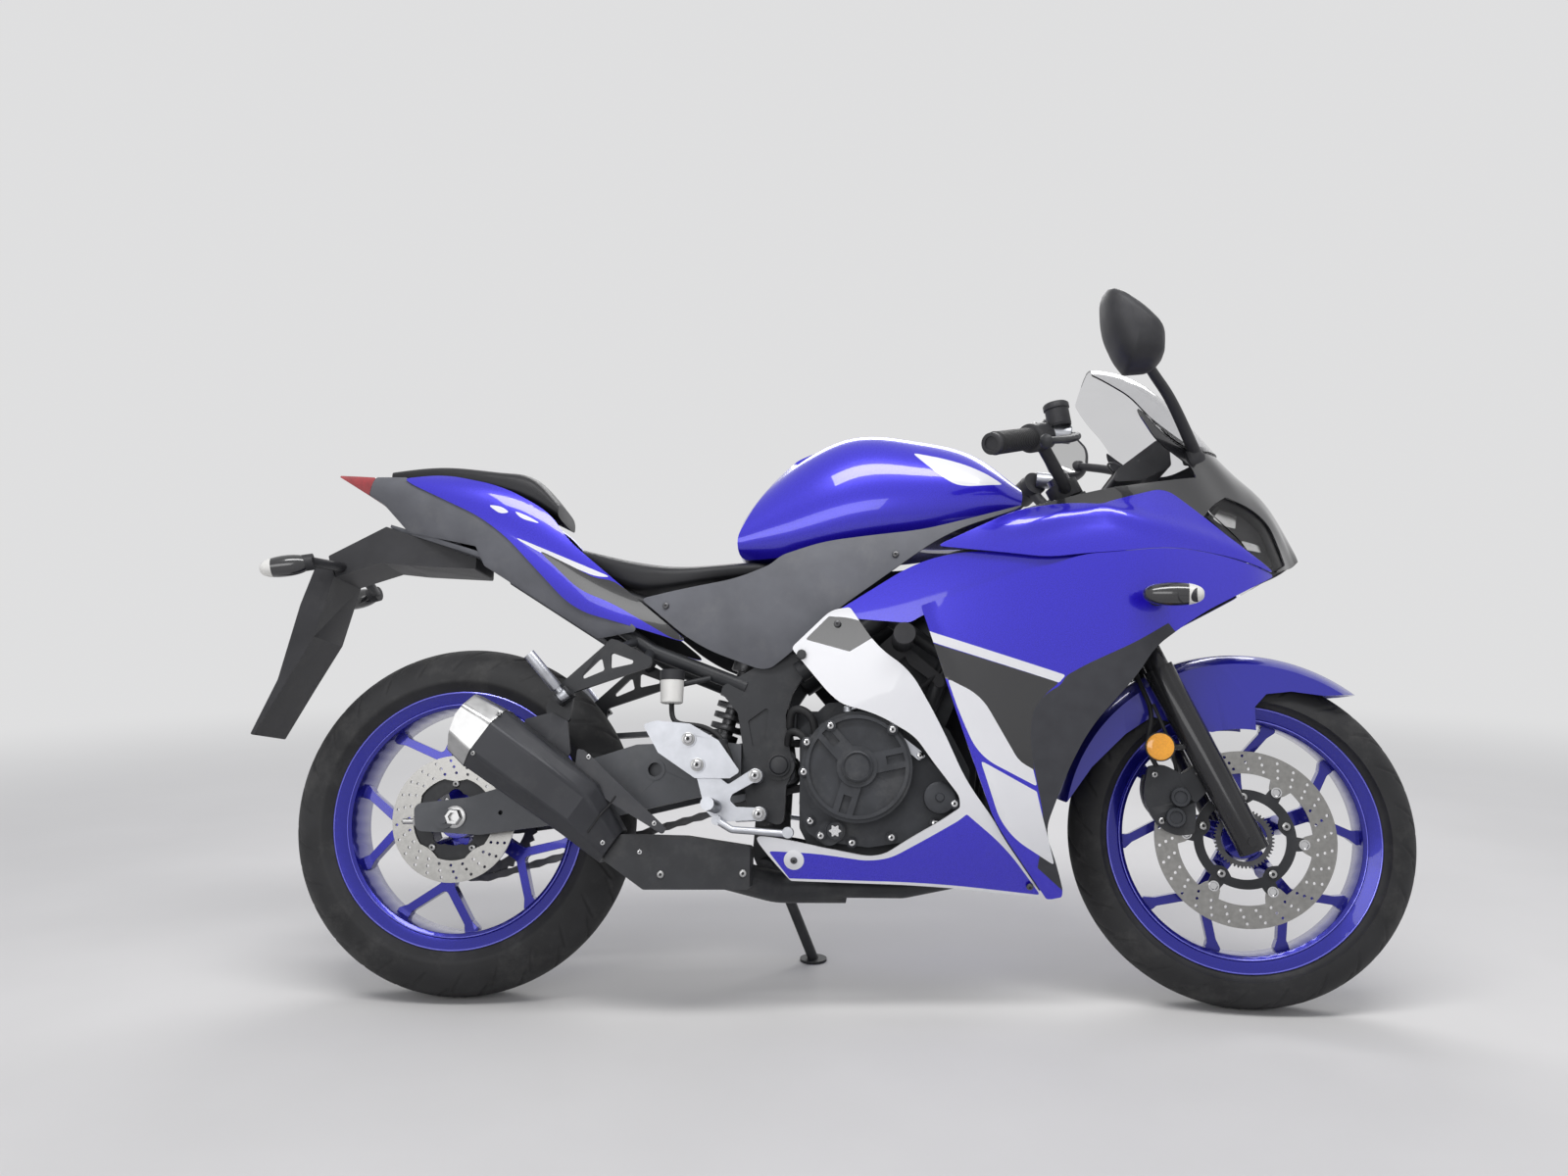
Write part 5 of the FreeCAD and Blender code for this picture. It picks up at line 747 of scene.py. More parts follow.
# Bodywork

RIDGE_X, RIDGE_Z = (846, 990, 1130, 1202, 1317, 1446), (790, 806, 838, 813, 790, 750)
RIDGE_HEIGHT = 5.0
RIDGE_HALF = 24.0
RIDGE_START = 930.0
RIDGE_RUN = 120.0
BLADE_Z, BLADE_X = (190, 284, 425, 547, 653), (1035, 967, 905, 862, 820)
BLADE_HEIGHT = 3.0
BLADE_WIDTH = 9.0


def cowl_relief(x, z):
    """The upper flank carries a soft ridge that fades in towards the nose."""
    fade = np.clip((x - RIDGE_START) / RIDGE_RUN, 0, 1)
    away = np.abs(z - np.interp(x, RIDGE_X, RIDGE_Z)) / RIDGE_HALF
    return RIDGE_HEIGHT * fade * np.clip(1.0 - away, 0, 1)


def fairing_relief(x, z):
    """A raised blade along the rear edge."""
    return BLADE_HEIGHT * np.exp(-((x - np.interp(z, BLADE_Z, BLADE_X)) / BLADE_WIDTH) ** 2)


def tank_back():
    """The wall that closes the tank behind and below, crowned between its two side skins."""
    edge = rounded(TANK_SIDE, TANK_CORNER)
    side = TANK.points(edge[:, 0], TANK.invert(edge[:, 0], edge[:, 1]), -1.0)
    x, z = edge.T
    crown = TANK_BACK_CROWN * np.clip((700.0 - x) / 80.0, 0, 1) * np.clip((z - 790.0) / 60.0, 0, 1)
    rings = []
    for t in np.linspace(-1, 1, 17):
        rings.append(side * (1, t, 1) + np.outer(crown * (1.0 - t ** 2), (-1.0, 0.0, 0.3)))
    return stacked(rings, "blue", ends=(False, False))


def panel(name, node, slot, form, outline, corner=4.0, outset=COWL_STEP, bevel=PANEL_EDGE, merge=False,
          **look):
    """A panel on both sides of the middle plane."""
    shape = both(skin(form, outline, corner, outset, **look))
    make(name, shape, "root", [node], bevel=bevel, merge=merge)


def build_bodywork():
    """The painted panels, the screen, the lamp lenses and the tank."""
    main = skin(BODY, FAIRING_MAIN, 5.0, areas=FAIRING_AREAS, relief=fairing_relief)
    duct = skin(BODY, DUCT_SIDE, 5.0, DUCT_STEP)
    liner = skin(BODY, DUCT_LINER, 5.0, DUCT_LINER_STEP, LINER_WALL, "plastic_black")
    left = Shape().join(main, duct, liner)
    for side, shape in (("left", left), ("right", left.flipped())):
        make("fairing_" + side, shape, "root", ["side_fairing_" + side], bevel=PANEL_EDGE)
    panel("cowl_flanks", "front_cowl", "paint_blue", BODY, COWL_FLANK, relief=cowl_relief)
    panel("belly_arms", "belly_fairings", "paint_white", BODY, BELLY_SIDE, 8.0, 0.0, colour="white",
          areas=BELLY_AREAS)
    panel("nose_top", "nose_panel", "plastic_black", BODY, NOSE_TOP, 3.0, 0.0, 0.5, True, colour="black",
          step=8.0)
    panel("screen", "windscreen", "screen_smoke", BODY, SCREEN_SIDE, 6.0, bevel=0.0, merge=True,
          colour="smoke", inner="smoke", step=8.0)
    panel("lamp_lenses", "headlamps", "lens_clear", BODY, LAMP_OUTLINE, 5.0, -PANEL_WALL - 0.3, bevel=0.0,
          wall=LENS_WALL, colour="lamp_glass", inner="lamp_glass", step=7.0)
    panel("tail_panels", "tail_covers", "paint_blue", TAIL, TAIL_BLUE, 6.0, areas=TAIL_AREAS, step=7.0)
    panel("side_panels", "side_covers", "plastic_grey", COVER, COVER_SIDE, 6.0, 0.0, colour="cover_grey")
    tank = both(skin(TANK, TANK_SIDE, TANK_CORNER, 0.0, inner="blue", areas=TANK_AREAS, step=8.0))
    make("tank_shell", tank.join(tank_back()), "root", ["fuel_tank"], merge=True)


# Tyres

TYRE_SEGMENTS = 960
# Each cut's start and end as shares of the tread's reach, its slope and its place in the pitch
GROOVES = ((0.10, 0.62, 0.9, 0.0), (0.45, 0.95, 0.7, 0.45))


def groove_depth(angle, across, reach, pitch_count, width):
    """Depth of slanted curved grooves at points on the tread, from 0 to 1."""
    depth = np.zeros(np.broadcast(angle, across).shape)
    for side in (-1.0, 1.0):
        w = across * side / reach
        shift = 0.5 / pitch_count if side > 0 else 0.0
        for start, end, slope, offset in GROOVES:
            line = slope * (w - start) + 0.35 * (w - start) ** 2
            phase = (angle / (2 * math.pi) + shift) * pitch_count + offset - line
            away = np.abs(phase - np.round(phase)) / pitch_count
            taper = np.clip((w - start) / 0.06, 0, 1) * np.clip((end - w) / 0.10, 0, 1)
            depth = np.maximum(depth, taper * np.clip(1.6 - away / width, 0, 1))
    return depth


def tyre(name, centre, radius, tread_r, rim_half, body, node, placing, pitch_count):
    """Round tread with cut grooves, shoulders and sidewalls down to the bead."""
    arc = np.radians(np.linspace(-86.0, 86.0, 54))
    tread = np.column_stack([radius - tread_r * (1 - np.cos(arc)), tread_r * np.sin(arc)])
    bead = (RIM_FLANGE_R + 0.5, rim_half - 1.0)
    wall = smooth_line([tread[-1], (RIM_FLANGE_R + 8.0, rim_half + 5.0), bead], 4.0)
    profile = np.vstack([wall[::-1] * (1, -1), tread[1:-1], wall])
    angle = np.arange(TYRE_SEGMENTS) * 2 * math.pi / TYRE_SEGMENTS
    across = np.zeros(len(profile))
    across[len(wall):-len(wall)] = tread_r * arc[1:-1]
    depth = groove_depth(angle[None, :], across[:, None], tread_r * 1.35, pitch_count, GROOVE_WIDTH)
    depth[:len(wall)] = 0.0
    depth[-len(wall):] = 0.0
    shape = lathe(profile, centre, TYRE_SEGMENTS, "tyre", False, -TREAD_DEPTH * depth)
    make(name, shape, body, [node], placing, sharp=50.0)


def build_tyres():
    tyre("rear_tyre_rubber", REAR_AXLE, REAR_TYRE_R, REAR_TREAD_R, REAR_RIM_HALF, "rear_wheel", "rear_tyre",
         UPRIGHT, 26)
    tyre("front_tyre_rubber", FRONT_AXLE, FRONT_TYRE_R, FRONT_TREAD_R, FRONT_RIM_HALF, "front_wheel",
         "front_tyre", STEERED, 24)


def build_rim_highlights():
    """Painted highlights: thin rings in a lighter copy of the rim's blue that run round both edges of each
    rim.
    """
    round_angle = np.linspace(0, 2 * math.pi, 8, endpoint=False)
    for wheel, centre, half, placing in (("rear", REAR_AXLE, REAR_RIM_HALF, UPRIGHT),
                                         ("front", FRONT_AXLE, FRONT_RIM_HALF, STEERED)):
        shape = Shape()
        for side in (-1, 1):
            for radius, out, thick in ((RIM_FLANGE_R - 1.0, half + 0.6, 1.5),
                                       (RIM_FLANGE_R - 22.0, half - 7.0, 1.0)):
                loop = [(radius + thick * math.cos(a), side * out + thick * math.sin(a)) for a in round_angle]
                shape.join(lathe(loop, centre, 160, "rim_light"))
        make(wheel + "_rim_highlights", shape, wheel + "_wheel", placing=placing)


# Seats

def seat(name, node, sections):
    """A moulded foam seat, lofted through crowned sections of (x, half width, low, high)."""
    sections = np.array(sections, float)
    stations = np.linspace(sections[0, 0], sections[-1, 0], 60)
    angle = np.linspace(0, 2 * math.pi, 40, endpoint=False)
    cos, sin = np.cos(angle), np.sin(angle)
    rings = []
    for x, (half, low, high) in zip(stations, spline(sections[:, 0], sections[:, 1:])(stations)):
        y = half * np.sign(cos) * np.abs(cos) ** 0.55
        z = (low + high) / 2 + (high - low) / 2 * np.sign(sin) * np.abs(sin) ** np.where(sin > 0, 0.75, 0.4)
        rings.append(np.column_stack([np.full(len(angle), x), y, z]))
    piece = make(name, stacked(rings, "vinyl"), "root", [node], bevel=3.0)


def build_seats():
    seat("rider_cushion", "rider_seat", [(206, 72, 772, 806), (320, 116, 714, 776), (420, 122, 722, 766),
                                         (500, 94, 740, 776), (586, 58, 757, 778)])
    seat("passenger_cushion", "passenger_seat", [(-176, 38, 946, 966), (-60, 71, 931, 968),
                                                 (60, 85, 906, 954), (120, 82, 882, 936),
                                                 (158, 70, 863, 892)])


# Brakes

def ring_loop(centre, radius, count=180, change=None):
    """A loop round a centre; change gives what is added to the radius at an angle in degrees."""
    angle = np.arange(count) * 360.0 / count
    r = radius + (change(angle) if change else 0.0)
    turn = np.radians(angle)
    return np.column_stack([centre[0] + r * np.cos(turn), centre[2] + r * np.sin(turn)])


def dents(first, count, half_width, height, power=1.0):
    """A change of radius at count even angles: soft lobes, or half rounds with a power of 0.5."""
    def change(angle):
        pitch = 360.0 / count
        away = np.abs((angle - first + pitch / 2) % pitch - pitch / 2)
        return height * np.clip(1 - (away / half_width) ** 2, 0, 1) ** power
    return change


def at_angle(centre, radius, degrees, y=0.0):
    turn = math.radians(degrees)
    return (centre.x + radius * math.cos(turn), y, centre.z + radius * math.sin(turn))


def drilled(centre, radii, rows, slant):
    """Small holes in slanted rows round a rotor."""
    return [ring_loop(at_angle(centre, r, k * 360.0 / rows + i * slant), 2.7, 10)
            for k in range(rows) for i, r in enumerate(radii)]


def rotor_bolts(centre, bolt_r, bolt_y, head, boss_r, boss_y, boss):
    """Five bolts that hold a rotor, each with its boss on the rim."""
    shape = Shape()
    for degrees in range(18, 378, 72):
        shape.join(bolt(at_angle(centre, bolt_r, degrees, bolt_y), RIGHT, head, "steel"),
                   turned(boss, at_angle(centre, boss_r, degrees, boss_y), LEFT, "rim_blue", 20))
    return shape


def build_front_rotor():
    """Floating rotor with scallops, drilled rows and buttons on a dark ring, bolted to the wheel's bosses."""
    y = FRONT_ROTOR_Y
    tab_first = 55.0

    def tooth(angle):
        return np.where(angle % 7.5 < 3.75, 2.0, -2.0)

    inner = ring_loop(FRONT_AXLE, 111.0, 240, dents(tab_first, 6, 9.5, -23.0, 0.5))
    rotor = plate(ring_loop(FRONT_AXLE, 149.0), y - 2.2, y + 2.2, "disc", None,
                  [inner, *drilled(FRONT_AXLE, (119, 130, 141), 30, 2.4)])
    carrier = plate(ring_loop(FRONT_AXLE, 84.0, 240, dents(tab_first, 6, 8.0, 17.0, 0.5)), y - 3.0, y + 1.4,
                    "frame_black", None, [ring_loop(FRONT_AXLE, 68.0, 180, dents(18.0, 5, 14.0, -9.0))])
    sensor = plate(ring_loop(FRONT_AXLE, 48.0, 192, tooth), y + 4.0, y + 6.0, "dark_steel", None,
                   [ring_loop(FRONT_AXLE, 38.0, 90)])
    shape = rotor.join(carrier, sensor)
    for k in range(6):
        place = at_angle(FRONT_AXLE, 96.0, tab_first + 60 * k, y - 2.0)
        shape.join(turned([(0, 9), (3.2, 9), (3.6, 6.5), (2.0, 5.5), (2.0, 0.5)], place, RIGHT, "chrome"))
    hub = turned([(16, 14), (14, 33), (3, 38), (0, 38)], (FRONT_AXLE.x, -30.0, FRONT_AXLE.z), RIGHT,
                 "rim_blue", 48)
    bolts = rotor_bolts(FRONT_AXLE, 71.0, y - 3.0, 7.5, 69.0, y + 1.6, [(0, 8.5), (20, 10), (52, 17)])
    shape.join(bolts, hub)
    make("front_rotor", shape, "front_wheel", ["front_disc"], STEERED, sharp=28.0)


def build_rear_rotor():
    """Drilled rotor on a dark ring, bolted to the rear rim's bosses."""
    y = REAR_ROTOR_Y
    hole = ring_loop(REAR_AXLE, 72.0, 180, dents(18.0, 5, 16.0, -6.0))
    rotor = plate(ring_loop(REAR_AXLE, 110.0), y - 2.2, y + 2.2, "disc", None,
                  [hole, *drilled(REAR_AXLE, (80, 91, 102), 24, 3.2)])
    carrier = plate(ring_loop(REAR_AXLE, 74.0), y + 2.4, y + 6.0, "frame_black", None,
                    [ring_loop(REAR_AXLE, 46.0, 180, dents(18.0, 5, 16.0, 6.0))])
    hub = turned([(0, 26), (18, 26), (19, 30)], (0, y, REAR_AXLE.z), LEFT, "rim_blue", 40)
    bolts = rotor_bolts(REAR_AXLE, 61.0, y + 2.2, 6.5, 61.0, y + 6.2, [(0, 9), (20, 10), (66, 17)])
    make("rear_rotor", rotor.join(carrier, hub, bolts), "rear_wheel", ["rear_disc"], sharp=28.0)


def build_caliper():
    """Two-piston front caliper with its pad pins, bridge and hose."""
    shape = plate([(1222, 414), (1212, 372), (1217, 342), (1236, 312), (1262, 296), (1293, 300), (1298, 330),
                   (1294, 388), (1276, 402), (1246, 418)], -93.5, -72.0, "frame_black", 9.0)
    bridge = plate([(1216, 402), (1210, 372), (1216, 344), (1240, 316), (1262, 306), (1252, 350),
                    (1240, 392)], -72.5, -50.0, "frame_black", 6.0)
    lug = plate([(1270, 398), (1292, 408), (1330, 440), (1338, 424), (1318, 372), (1296, 350)], -94.0, -86.0,
                "frame_black", 6.0)
    shape.join(bridge, lug)
    for x, z in ((1272, 362), (1263, 328)):
        shape.join(turned([(0, 17), (9, 17), (12, 15.5), (12, 11), (9.5, 10), (9.5, 1)], (x, -93.0, z), RIGHT,
                          "engine_black", 36))
    for x, y, z, radius in ((1232, -93.4, 400, 6.0), (1240, -93.4, 322, 6.0), (1304, -94.0, 404, 6.5)):
        shape.join(bolt((x, y, z), RIGHT, radius, "steel"))
    make("front_caliper", shape, "steering", ["front_brake"], STEERED, bevel=1.2)
    line = hose([(1236, -92, 414), (1222, -100, 450), (1230, -96, 500), (1216, -80, 556), (1196, -70, 640),
                 (1170, -64, 720)], 4.2, "rubber")
    line.join(hose([(1270, -84, 404), (1262, -96, 440), (1252, -104, 470), (1234, -98, 520)], 3.2, "rubber"))
    make("brake_line", line, "steering", placing=STEERED)


def build_reflectors():
    dome = [(0, 23.0), (1.6, 22.4), (3.0, 19.5), (3.6, 12.0), (3.8, 1.0)]
    shape = Shape()
    for side in (-1, 1):
        shape.join(turned(dome, (1240, side * 118.1, 447), (0, side, 0), "orange", 48))
    make("leg_reflectors", shape, "steering", placing=STEERED)


# Cockpit, in the places it has with the bars straight

GRIP_INNER = Vector((1047, -198, 976))
GRIP_OUTER = Vector((970, -340, 930))
GRIP_AXIS = (GRIP_OUTER - GRIP_INNER).normalized()
GRIP_LENGTH = 124.0
FORK_TOP = STEER_FOOT + STEER_DIR * 962.0 + STEER_FORWARD * 36.9
FORK_HALF = 97.0


def bar_part(share, profile, colour):
    """A turned part on the right bar, from the grip's inner end at 0 to its outer end at 1."""
    return turned(profile, GRIP_INNER.lerp(GRIP_OUTER, share), GRIP_AXIS, colour, 28)


def build_bars():
    """Grips, clamps, levers and the brake's fluid pot."""
    ribs = [(0.0, 17.4)]
    for t in np.arange(2.0, GRIP_LENGTH, 6.4):
        ribs += [(t, 19.0), (t + 3.6, 19.0), (t + 4.4, 17.8), (t + 5.4, 17.8)]
    clamp_top = GRIP_INNER.lerp(GRIP_OUTER, -0.05) + GRIP_AXIS * 20 + Vector((0, 0, 24.5))
    right = Shape().join(
        bar_part(0.19, ribs + [(132, 19.5), (134, 17.3)], "rubber"),
        bar_part(1.0, [(0, 15), (1, 18), (9, 18), (10, 16), (10, 12), (7, 11), (7, 1)], "plastic_black"),
        bar_part(-0.05, [(0, 21), (2, 25), (40, 25), (42, 21)], "plastic_black"),
        bolt(clamp_top, UP, 4.5, "steel"),
        hose([(1100, -160, 985), (1112, -205, 974), (1098, -262, 954), (1056, -330, 934)], 7.2, "frame_black",
             5.0, 14, 0.8),
        turned([(0, 10), (2, 12), (5, 10), (8, 3)], (1054, -333, 932), (-0.5, -0.8, -0.2), "frame_black"),
        turned([(0, 13), (2, 16.2), (44, 16.2), (46, 13)], (1060, -176, 990), (44, 0, -6), "alloy"))
    pot = turned([(0, 18), (3, 20.6), (30, 20.6), (31, 22.5), (39, 22.5), (42, 20), (43, 1)],
                 (1086, -182, 998), (-6, 0, 38), "plastic_black", 36)
    make("bar_controls", both(right).join(pot), "steering", placing=STEERED, sharp=40.0)


def build_fork_caps():
    caps = Shape()
    for y in (-FORK_HALF, FORK_HALF):
        top = (FORK_TOP.x, y, FORK_TOP.z)
        caps.join(turned([(0, 20.8), (16, 20.8), (18, 19), (18, 14)], top, STEER_DIR, "steel", 32),
                  turned([(16, 13), (27, 13), (28, 11.5)], top, STEER_DIR, "alloy", 6))
    make("fork_caps", caps, "steering", placing=STEERED)


def build_gauge():
    """A dark display with a ring for its dial."""
    face = Shape().add([(1184, -68, 944), (1184, 68, 944), (1254, 68, 996), (1254, -68, 996)], [(0, 1, 2, 3)],
                       "screen_display")
    middle = (0, 0, 0)
    dial = plate(ring_loop(middle, 30, 48), -1.0, 1.0, "plastic_black", None, [ring_loop(middle, 26, 48)])
    tilt = Matrix.Rotation(math.radians(36.6), 3, "Y") @ Matrix.Rotation(math.radians(90), 3, "X")
    dial.points = [p @ np.array(tilt).T + (1217, 26, 970) for p in dial.points]
    make("gauge_face", face.join(dial), "root")


def build_mirrors():
    """Domed housings with the glass set in their inner faces, on curved stalks with a foot on the cowl."""
    smooth = rounded(MIRROR_LOOP, 9.0, 4.0)
    middle = np.array((1168.0, 1104.0))

    def section(y, scale):
        return np.insert(middle + (smooth - middle) * scale, 1, y, axis=1)

    stations = ((-376, 0.30), (-373, 0.52), (-366, 0.72), (-354, 0.87), (-338, 0.96), (-318, 1.0),
                (-300, 0.99), (-290, 0.95), (-286, 0.90), (-286, 0.84), (-289, 0.82))
    shape = stacked([section(y, scale) for y, scale in stations], "plastic_black", ends=(True, False))
    shape.add(section(-289.0, 0.82), [range(len(smooth))], "mirror")
    shape.join(
        hose([(1190, -296, 1066), (1206, -272, 1056), (1240, -226, 1036), (1278, -170, 1004),
              (1318, -108, 964)], 8.5, "plastic_black", 8.0, 16, 1.3),
        turned([(0, 12), (6, 14), (18, 13), (22, 9)], (1184, -304, 1068), (0.5, 0.8, -0.3), "plastic_black"),
        turned([(-6, 20), (2, 20), (10, 15), (18, 11)], (1316, -104, 956), (-0.35, -0.5, 0.8),
               "plastic_black", 28))
    make("mirror_pair", both(shape), "root", ["mirrors"], sharp=40.0)


# Small pieces of the frame and engine

def build_engine_trim():
    """Bolts, caps and the clutch arm on the covers, and the hoses beside the cylinder."""
    shape = Shape()
    for x, z in ((667, 468), (627, 441), (622, 392), (632, 312), (650, 288), (702, 277), (768, 286),
                 (841, 310), (872, 342), (770, 462)):
        y = side_y(x, z, "engine_covers", "engine")
        shape.join(turned([(0, 9), (5, 9), (6, 7)], (x, y + 1, z), RIGHT, "engine_black", 20),
                   bolt((x, y - 5, z), RIGHT, 6.0, "chrome"))
    x, z = 674, 296
    y = side_y(x, z, "engine_covers", "engine")
    socket = [(x + r * math.cos(i * math.pi / 6), z + r * math.sin(i * math.pi / 6))
              for i, r in enumerate((11.5, 6.5) * 6)]
    bracket = [(752, 466), (767, 477), (775, 474), (783, 456), (819, 428), (826, 419), (814, 413), (802, 423),
               (778, 443), (758, 458)]
    shape.join(
        turned([(-1, 17), (3, 17), (4, 15), (2.5, 14), (2.5, 1)], (x, y, z), RIGHT, "engine_black", 40),
        plate(socket, y - 4.5, y - 2.0, "chrome", 1.5),
        plate(bracket, -166.0, -161.0, "alloy"),
        bolt((817, -166.0, 421), RIGHT, 6.0, "chrome"),
        turned([(0, 24), (2, 26), (6, 26), (8, 22), (8, 8), (11, 6)], (848, -162, 352), RIGHT,
               "engine_black", 36),
        turned([(0, 26), (4, 26), (6, 23), (3, 20), (3, 1)], (711, -190, 401), RIGHT, "engine_black", 48),
        turned([(0, 10), (8, 10), (10, 7)], (697, -158, 494), UP, "alloy", 20),
        hose([(697, -160, 497), (716, -165, 503), (742, -168, 508)], 5.0, "alloy", 4.0))
    make("cover_trim", shape, "root")
    pipes = Shape().join(
        hose([(596, -128, 470), (606, -142, 500), (628, -146, 492), (640, -140, 458)], 7.0, "rubber"),
        hose([(592, -128, 440), (600, -144, 462), (618, -148, 454), (632, -142, 420)], 6.0, "rubber"),
        hose([(742, -168, 508), (790, -150, 520), (846, -132, 560), (900, -120, 640)], 4.0, "rubber"))
    make("engine_hoses", pipes, "root")


def build_frame_trim():
    """Footrest and pivot bolts, the pivot's cap, and the rear brake's pot, hose and push rod."""
    bolts = Shape()
    for x, y, z in ((540, -172.5, 386), (547, -172.5, 323), (427, -180.5, 446), (443, -180.5, 403)):
        bolts.join(turned([(0, 11), (2.5, 11), (3, 10)], (x, y, z), RIGHT, "steel", 28),
                   bolt((x, y - 2.5, z), RIGHT, 8, "chrome"))
    pot = (392, -146, 509)
    shape = both(bolts).join(
        turned([(0, 19), (1.5, 19), (2.0, 17), (1.0, 15.5), (3.5, 14), (4.5, 11), (4.5, 1)],
               (578, -136.6, 405), RIGHT, "frame_black", 40),
        turned([(0, 17), (2, 19.6), (40, 20.5), (41, 18)], pot, UP, "reservoir", 36),
        turned([(41, 21.5), (56, 21.5), (58, 19), (59, 1)], pot, UP, "plastic_black"),
        hose([(392, -146, 508), (398, -150, 480), (440, -156, 470), (486, -160, 440), (500, -158, 400)], 4.5,
             "rubber"),
        turned([(0, 5), (52, 5)], (480, -158, 352), UP, "steel", 16),
        turned([(0, 12), (46, 12), (48, 9)], (480, -156, 400), UP, "frame_black"))
    make("frame_trim", shape, "root")


def build_chassis_trim():
    """Axle nuts, chain adjusters, muffler rivets and the seam between muffler and chamber."""
    shape = Shape()
    for side in (-1, 1):
        out, axle_end, adjuster = (0, side, 0), (17, side * 125.2, 314), (-44, side * 114.0, 306)
        shape.join(turned([(0, 19), (3, 19), (4, 16)], axle_end, out, "steel", 32),
                   turned([(3.5, 15), (14, 15), (16, 13), (16, 8), (8, 7.5), (8, 1)], axle_end, out, "steel",
                          6),
                   turned([(0, 5), (34, 5)], adjuster, (-1, 0, 0), "steel", 12),
                   turned([(6, 9), (14, 9)], adjuster, (-1, 0, 0), "steel", 6))
    seam = [(x, side_y(x, z, "muffler") - 0.2, z) for x, z in
            [(269 + 41 * t, 290 + 60 * t) for t in np.linspace(0.0, 1.0, 9)]]
    shape.join(
        *side_bolts(((120, 482), (84, 416)), 4.0, "steel", "muffler_cap", "muffler"),
        *side_bolts(((291, 274), (349, 259), (262, 414), (376, 306)), 4.5, "chrome", "muffler",
                    "exhaust_pipe"),
        *side_bolts(((385, 223), (522, 226)), 6.5, "steel", "exhaust_pipe", "muffler"),
        hose(seam, 1.6, "rubber", 4.0, 8))
    make("chassis_trim", shape, "root")


def build_panel_bolts():
    """Push pins and screws on the panels, set on their skins; the belly's has a white washer."""
    shape = Shape()
    for form, outset, x, z, washer in ((COVER, 0.0, 779, 766, 0), (COVER, 0.0, 376, 682, 0),
                                       (BODY, COWL_STEP, 679, 639, 0), (BODY, COWL_STEP, 999, 209, 0),
                                       (BODY, 0.0, 605, 248, 2.5)):
        share = form.invert([x], [z])
        deep, spot = form.points(np.full(2, float(x)), np.repeat(share, 2), [outset - 1.0, outset])
        out = spot - deep
        if washer:
            shape.join(turned([(0, 17), (2.0, 17), (3.0, 14)], spot, out, "white"))
        shape.join(bolt(spot + out * washer, out, 6.0, "dark_steel"))
    make("panel_bolts", both(shape), "root")


def build_lamps():
    """Bowls behind the head lamp's lenses, and the lenses of the turn signals."""
    bowl = skin(BODY, LAMP_BOWL, 4.0, BOWL_STEP, LINER_WALL, "plastic_black", areas=BOWL_AREAS, step=6.0)
    make("lamp_bowls", both(bowl), "root", merge=True)
    shape = Shape()
    for middle, axis, reach in (((1227, -248, 680), (1, -0.22, -0.05), 48.0),
                                ((-308, -160, 752), (-1, -0.18, -0.18), 44.0)):
        for low, high, colour in ((-1.0, 0.5, "black"), (0.5, 1.0, "reservoir")):
            share = np.sin(np.linspace(math.asin(low), math.asin(high), 10))
            pod = [(reach * s, max(19.5 * (1 - s ** 2) ** 0.36, 0.6)) for s in share]
            shape.join(turned(pod, middle, axis, colour, 32))
    make("signal_lenses", both(shape), "root")


# CAD nodes that keep their shape

NODE_PAINTS = {
    "frame_black": ("frame", "exhaust_pipe", "rear_brake", "side_stand", "triple_clamps"),
    "engine_black": ("engine", "engine_covers", "radiator"),
    "plastic_black": ("plate_carrier", "indicators", "instrument_panel", "crash_sliders", "handlebars"),
    "dark_steel": ("rear_shock", "chain", "rear_sprocket"),
    "alloy": ("footrest_brackets", "foot_levers", "passenger_peg_right", "passenger_peg_left", "fuel_lid"),
    "rim_blue": ("rear_rim", "front_rim"),
    "muffler_black": ("muffler",),
    "steel": ("muffler_cap",),
    "cover_grey": ("tail_undertray",),
    "red_lens": ("tail_lamp",),
    "arm_grey": ("swingarm",),
    "fork_black": ("fork_legs",),
    "fender_blue": ("front_fender",),
}
NODE_EDGE = 0.8
RIM_EDGE = 2.2


def dress_nodes():
    """A finish, and softened edges, for the pieces that stay as they were made."""
    for colour, nodes in NODE_PAINTS.items():
        for node in nodes:
            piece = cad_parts[node]
            piece.material_slots[0].material = paint(colour)
            weld(piece, NODE_WELD)
            soften(piece, RIM_EDGE if colour == "rim_blue" else NODE_EDGE, NODE_EDGE_ANGLE)


# Stage, light and camera

CAMERA_PLACE = Vector((698.0, -2054.0, 753.0))
CAMERA_TURNS = (3.16, -0.67, 0.15)
FOCAL_PIXELS = 1201.2
PHOTO_WIDTH = 1600
SENSOR = 36.0
FLOOR_COLOUR = (0.66, 0.65, 0.64)
FLOOR_CLEAR = 1.3
FLOOR_FADED = 5.5
BACKDROP = (0.74, 0.74, 0.745, 1)
SKY = (0.9, 0.92, 1.0, 1)
SKY_STRENGTH = 0.45
# Name, place, what it points at, size and power of each lamp
LAMPS = (("key", (0.2, -1.4, 3.2), (0, 0, 0.5), (3.4, 0.6), 72.0),
         ("fill", (-1.2, -3.4, 1.5), (0, 0, 0.5), (2.2, 1.2), 22.0),
         ("back", (0.4, 2.4, 2.6), (0, 0, 0.6), (3.0, 1.0), 45.0))


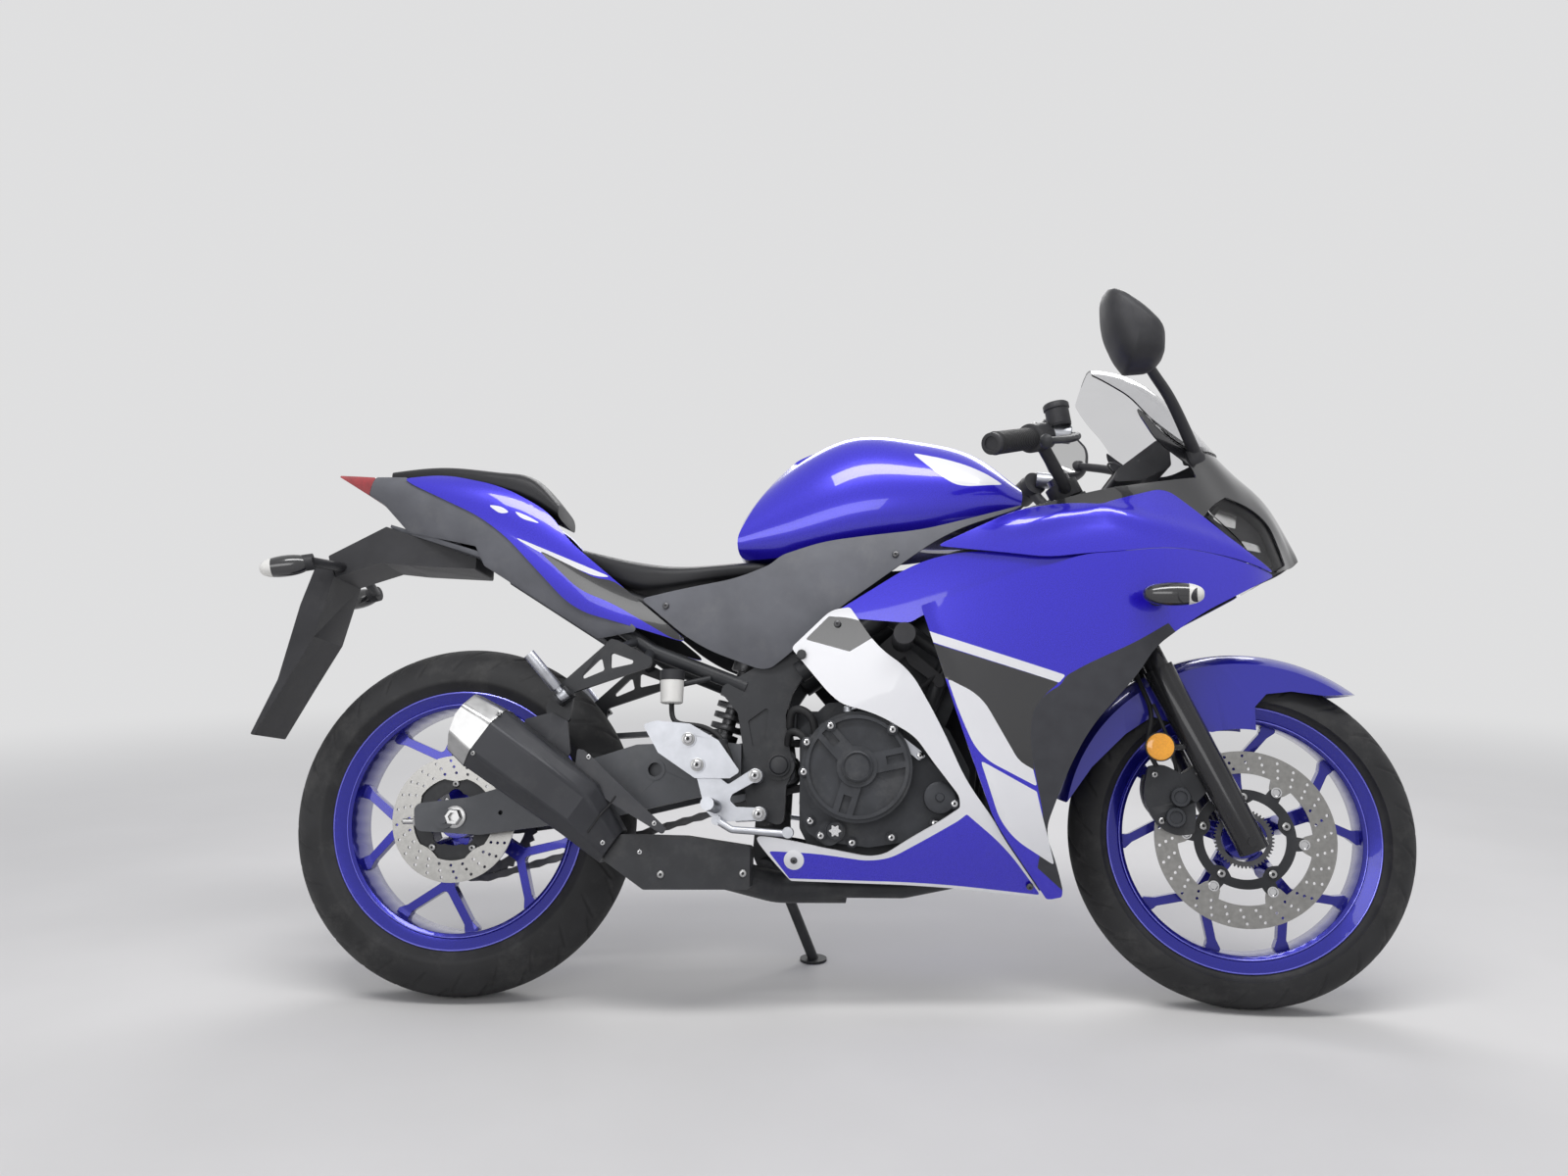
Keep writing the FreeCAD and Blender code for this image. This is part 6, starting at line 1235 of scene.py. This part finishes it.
def build_camera():
    """The photograph's viewpoint: yaw, pitch and roll about the machine's own axes."""
    yaw, pitch, roll = (math.radians(a) for a in CAMERA_TURNS)
    turn = Matrix.Rotation(yaw, 3, "Z") @ Matrix.Rotation(pitch, 3, "X") @ Matrix.Rotation(roll, 3, "Y")
    data = bpy.data.cameras.new("camera")
    data.sensor_width = SENSOR
    data.lens = FOCAL_PIXELS / PHOTO_WIDTH * SENSOR
    data.clip_end = 100.0
    place = Matrix((turn.col[0], turn.col[2], -turn.col[1])).transposed().to_4x4()
    low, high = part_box("rear_rim")
    lean = Matrix.Rotation(math.radians(-LEAN), 4, "X")
    shift = (low + high) / 2 - (UPRIGHT.to_scale()[0] * (lean @ REAR_AXLE))
    place.translation = CAMERA_PLACE / 1000.0 + Vector((shift.x, shift.y, 0.0))
    camera = put("camera", data)
    camera.matrix_world = place
    bpy.context.scene.camera = camera


def build_floor():
    """A matt floor that fades into the backdrop's colour with distance from the machine."""
    material = finish("floor_paint", FLOOR_COLOUR, 0.8, spread=0.03, scale=2.0)
    tree = material.node_tree
    place = add_node(tree, "TexCoord", {}).outputs["Object"]
    reach = add_node(tree, "VectorMath", {0: place}, operation="LENGTH").outputs["Value"]
    fade = add_node(tree, "MapRange", {"Value": reach, "From Min": FLOOR_CLEAR, "From Max": FLOOR_FADED},
                    interpolation_type="SMOOTHSTEP")
    glow = add_node(tree, "Emission", {"Color": BACKDROP})
    mix = add_node(tree, "MixShader", {0: fade.outputs["Result"], 1: tree.nodes["Principled BSDF"].outputs[0],
                                       2: glow.outputs[0]})
    fill(tree.nodes["Material Output"], {"Surface": mix.outputs[0]})
    mesh = bpy.data.meshes.new("floor")
    mesh.from_pydata([(-40, -40, 0), (40, -40, 0), (40, 40, 0), (-40, 40, 0)], [], [(0, 1, 2, 3)])
    mesh.materials.append(material)
    put("floor", mesh)


def build_lights():
    for name, place, target, size, power in LAMPS:
        data = bpy.data.lights.new(name, "AREA")
        data.shape = "RECTANGLE"
        data.size, data.size_y = size
        data.energy = power
        lamp = put(name, data)
        lamp.location = place
        lamp.rotation_euler = (Vector(target) - Vector(place)).to_track_quat("-Z", "Y").to_euler()


def build_world():
    """Soft light on the object, and the backdrop's colour for what the camera, gloss and glass see."""
    world = bpy.data.worlds.new("world")
    bpy.context.scene.world = world
    world.use_nodes = True
    tree = world.node_tree
    tree.nodes.clear()
    path = add_node(tree, "LightPath", {}).outputs
    seen = path["Is Camera Ray"]
    for kind in ("Is Transmission Ray", "Is Glossy Ray"):
        seen = add_node(tree, "Math", {0: seen, 1: path[kind]}, operation="MAXIMUM").outputs[0]
    plain = add_node(tree, "Background", {"Color": SKY, "Strength": SKY_STRENGTH})
    backdrop = add_node(tree, "Background", {"Color": BACKDROP, "Strength": 1.0})
    mix = add_node(tree, "MixShader", {0: seen, 1: plain.outputs[0], 2: backdrop.outputs[0]})
    add_node(tree, "OutputWorld", {"Surface": mix.outputs[0]})


dress_nodes()
build_bodywork()
build_tyres()
build_rim_highlights()
build_seats()
build_front_rotor()
build_rear_rotor()
build_caliper()
build_reflectors()
build_bars()
build_fork_caps()
build_mirrors()
build_gauge()
build_engine_trim()
build_frame_trim()
build_chassis_trim()
build_panel_bolts()
build_lamps()
build_floor()
build_lights()
build_world()
build_camera()
bpy.context.scene.view_settings.view_transform = "Standard"
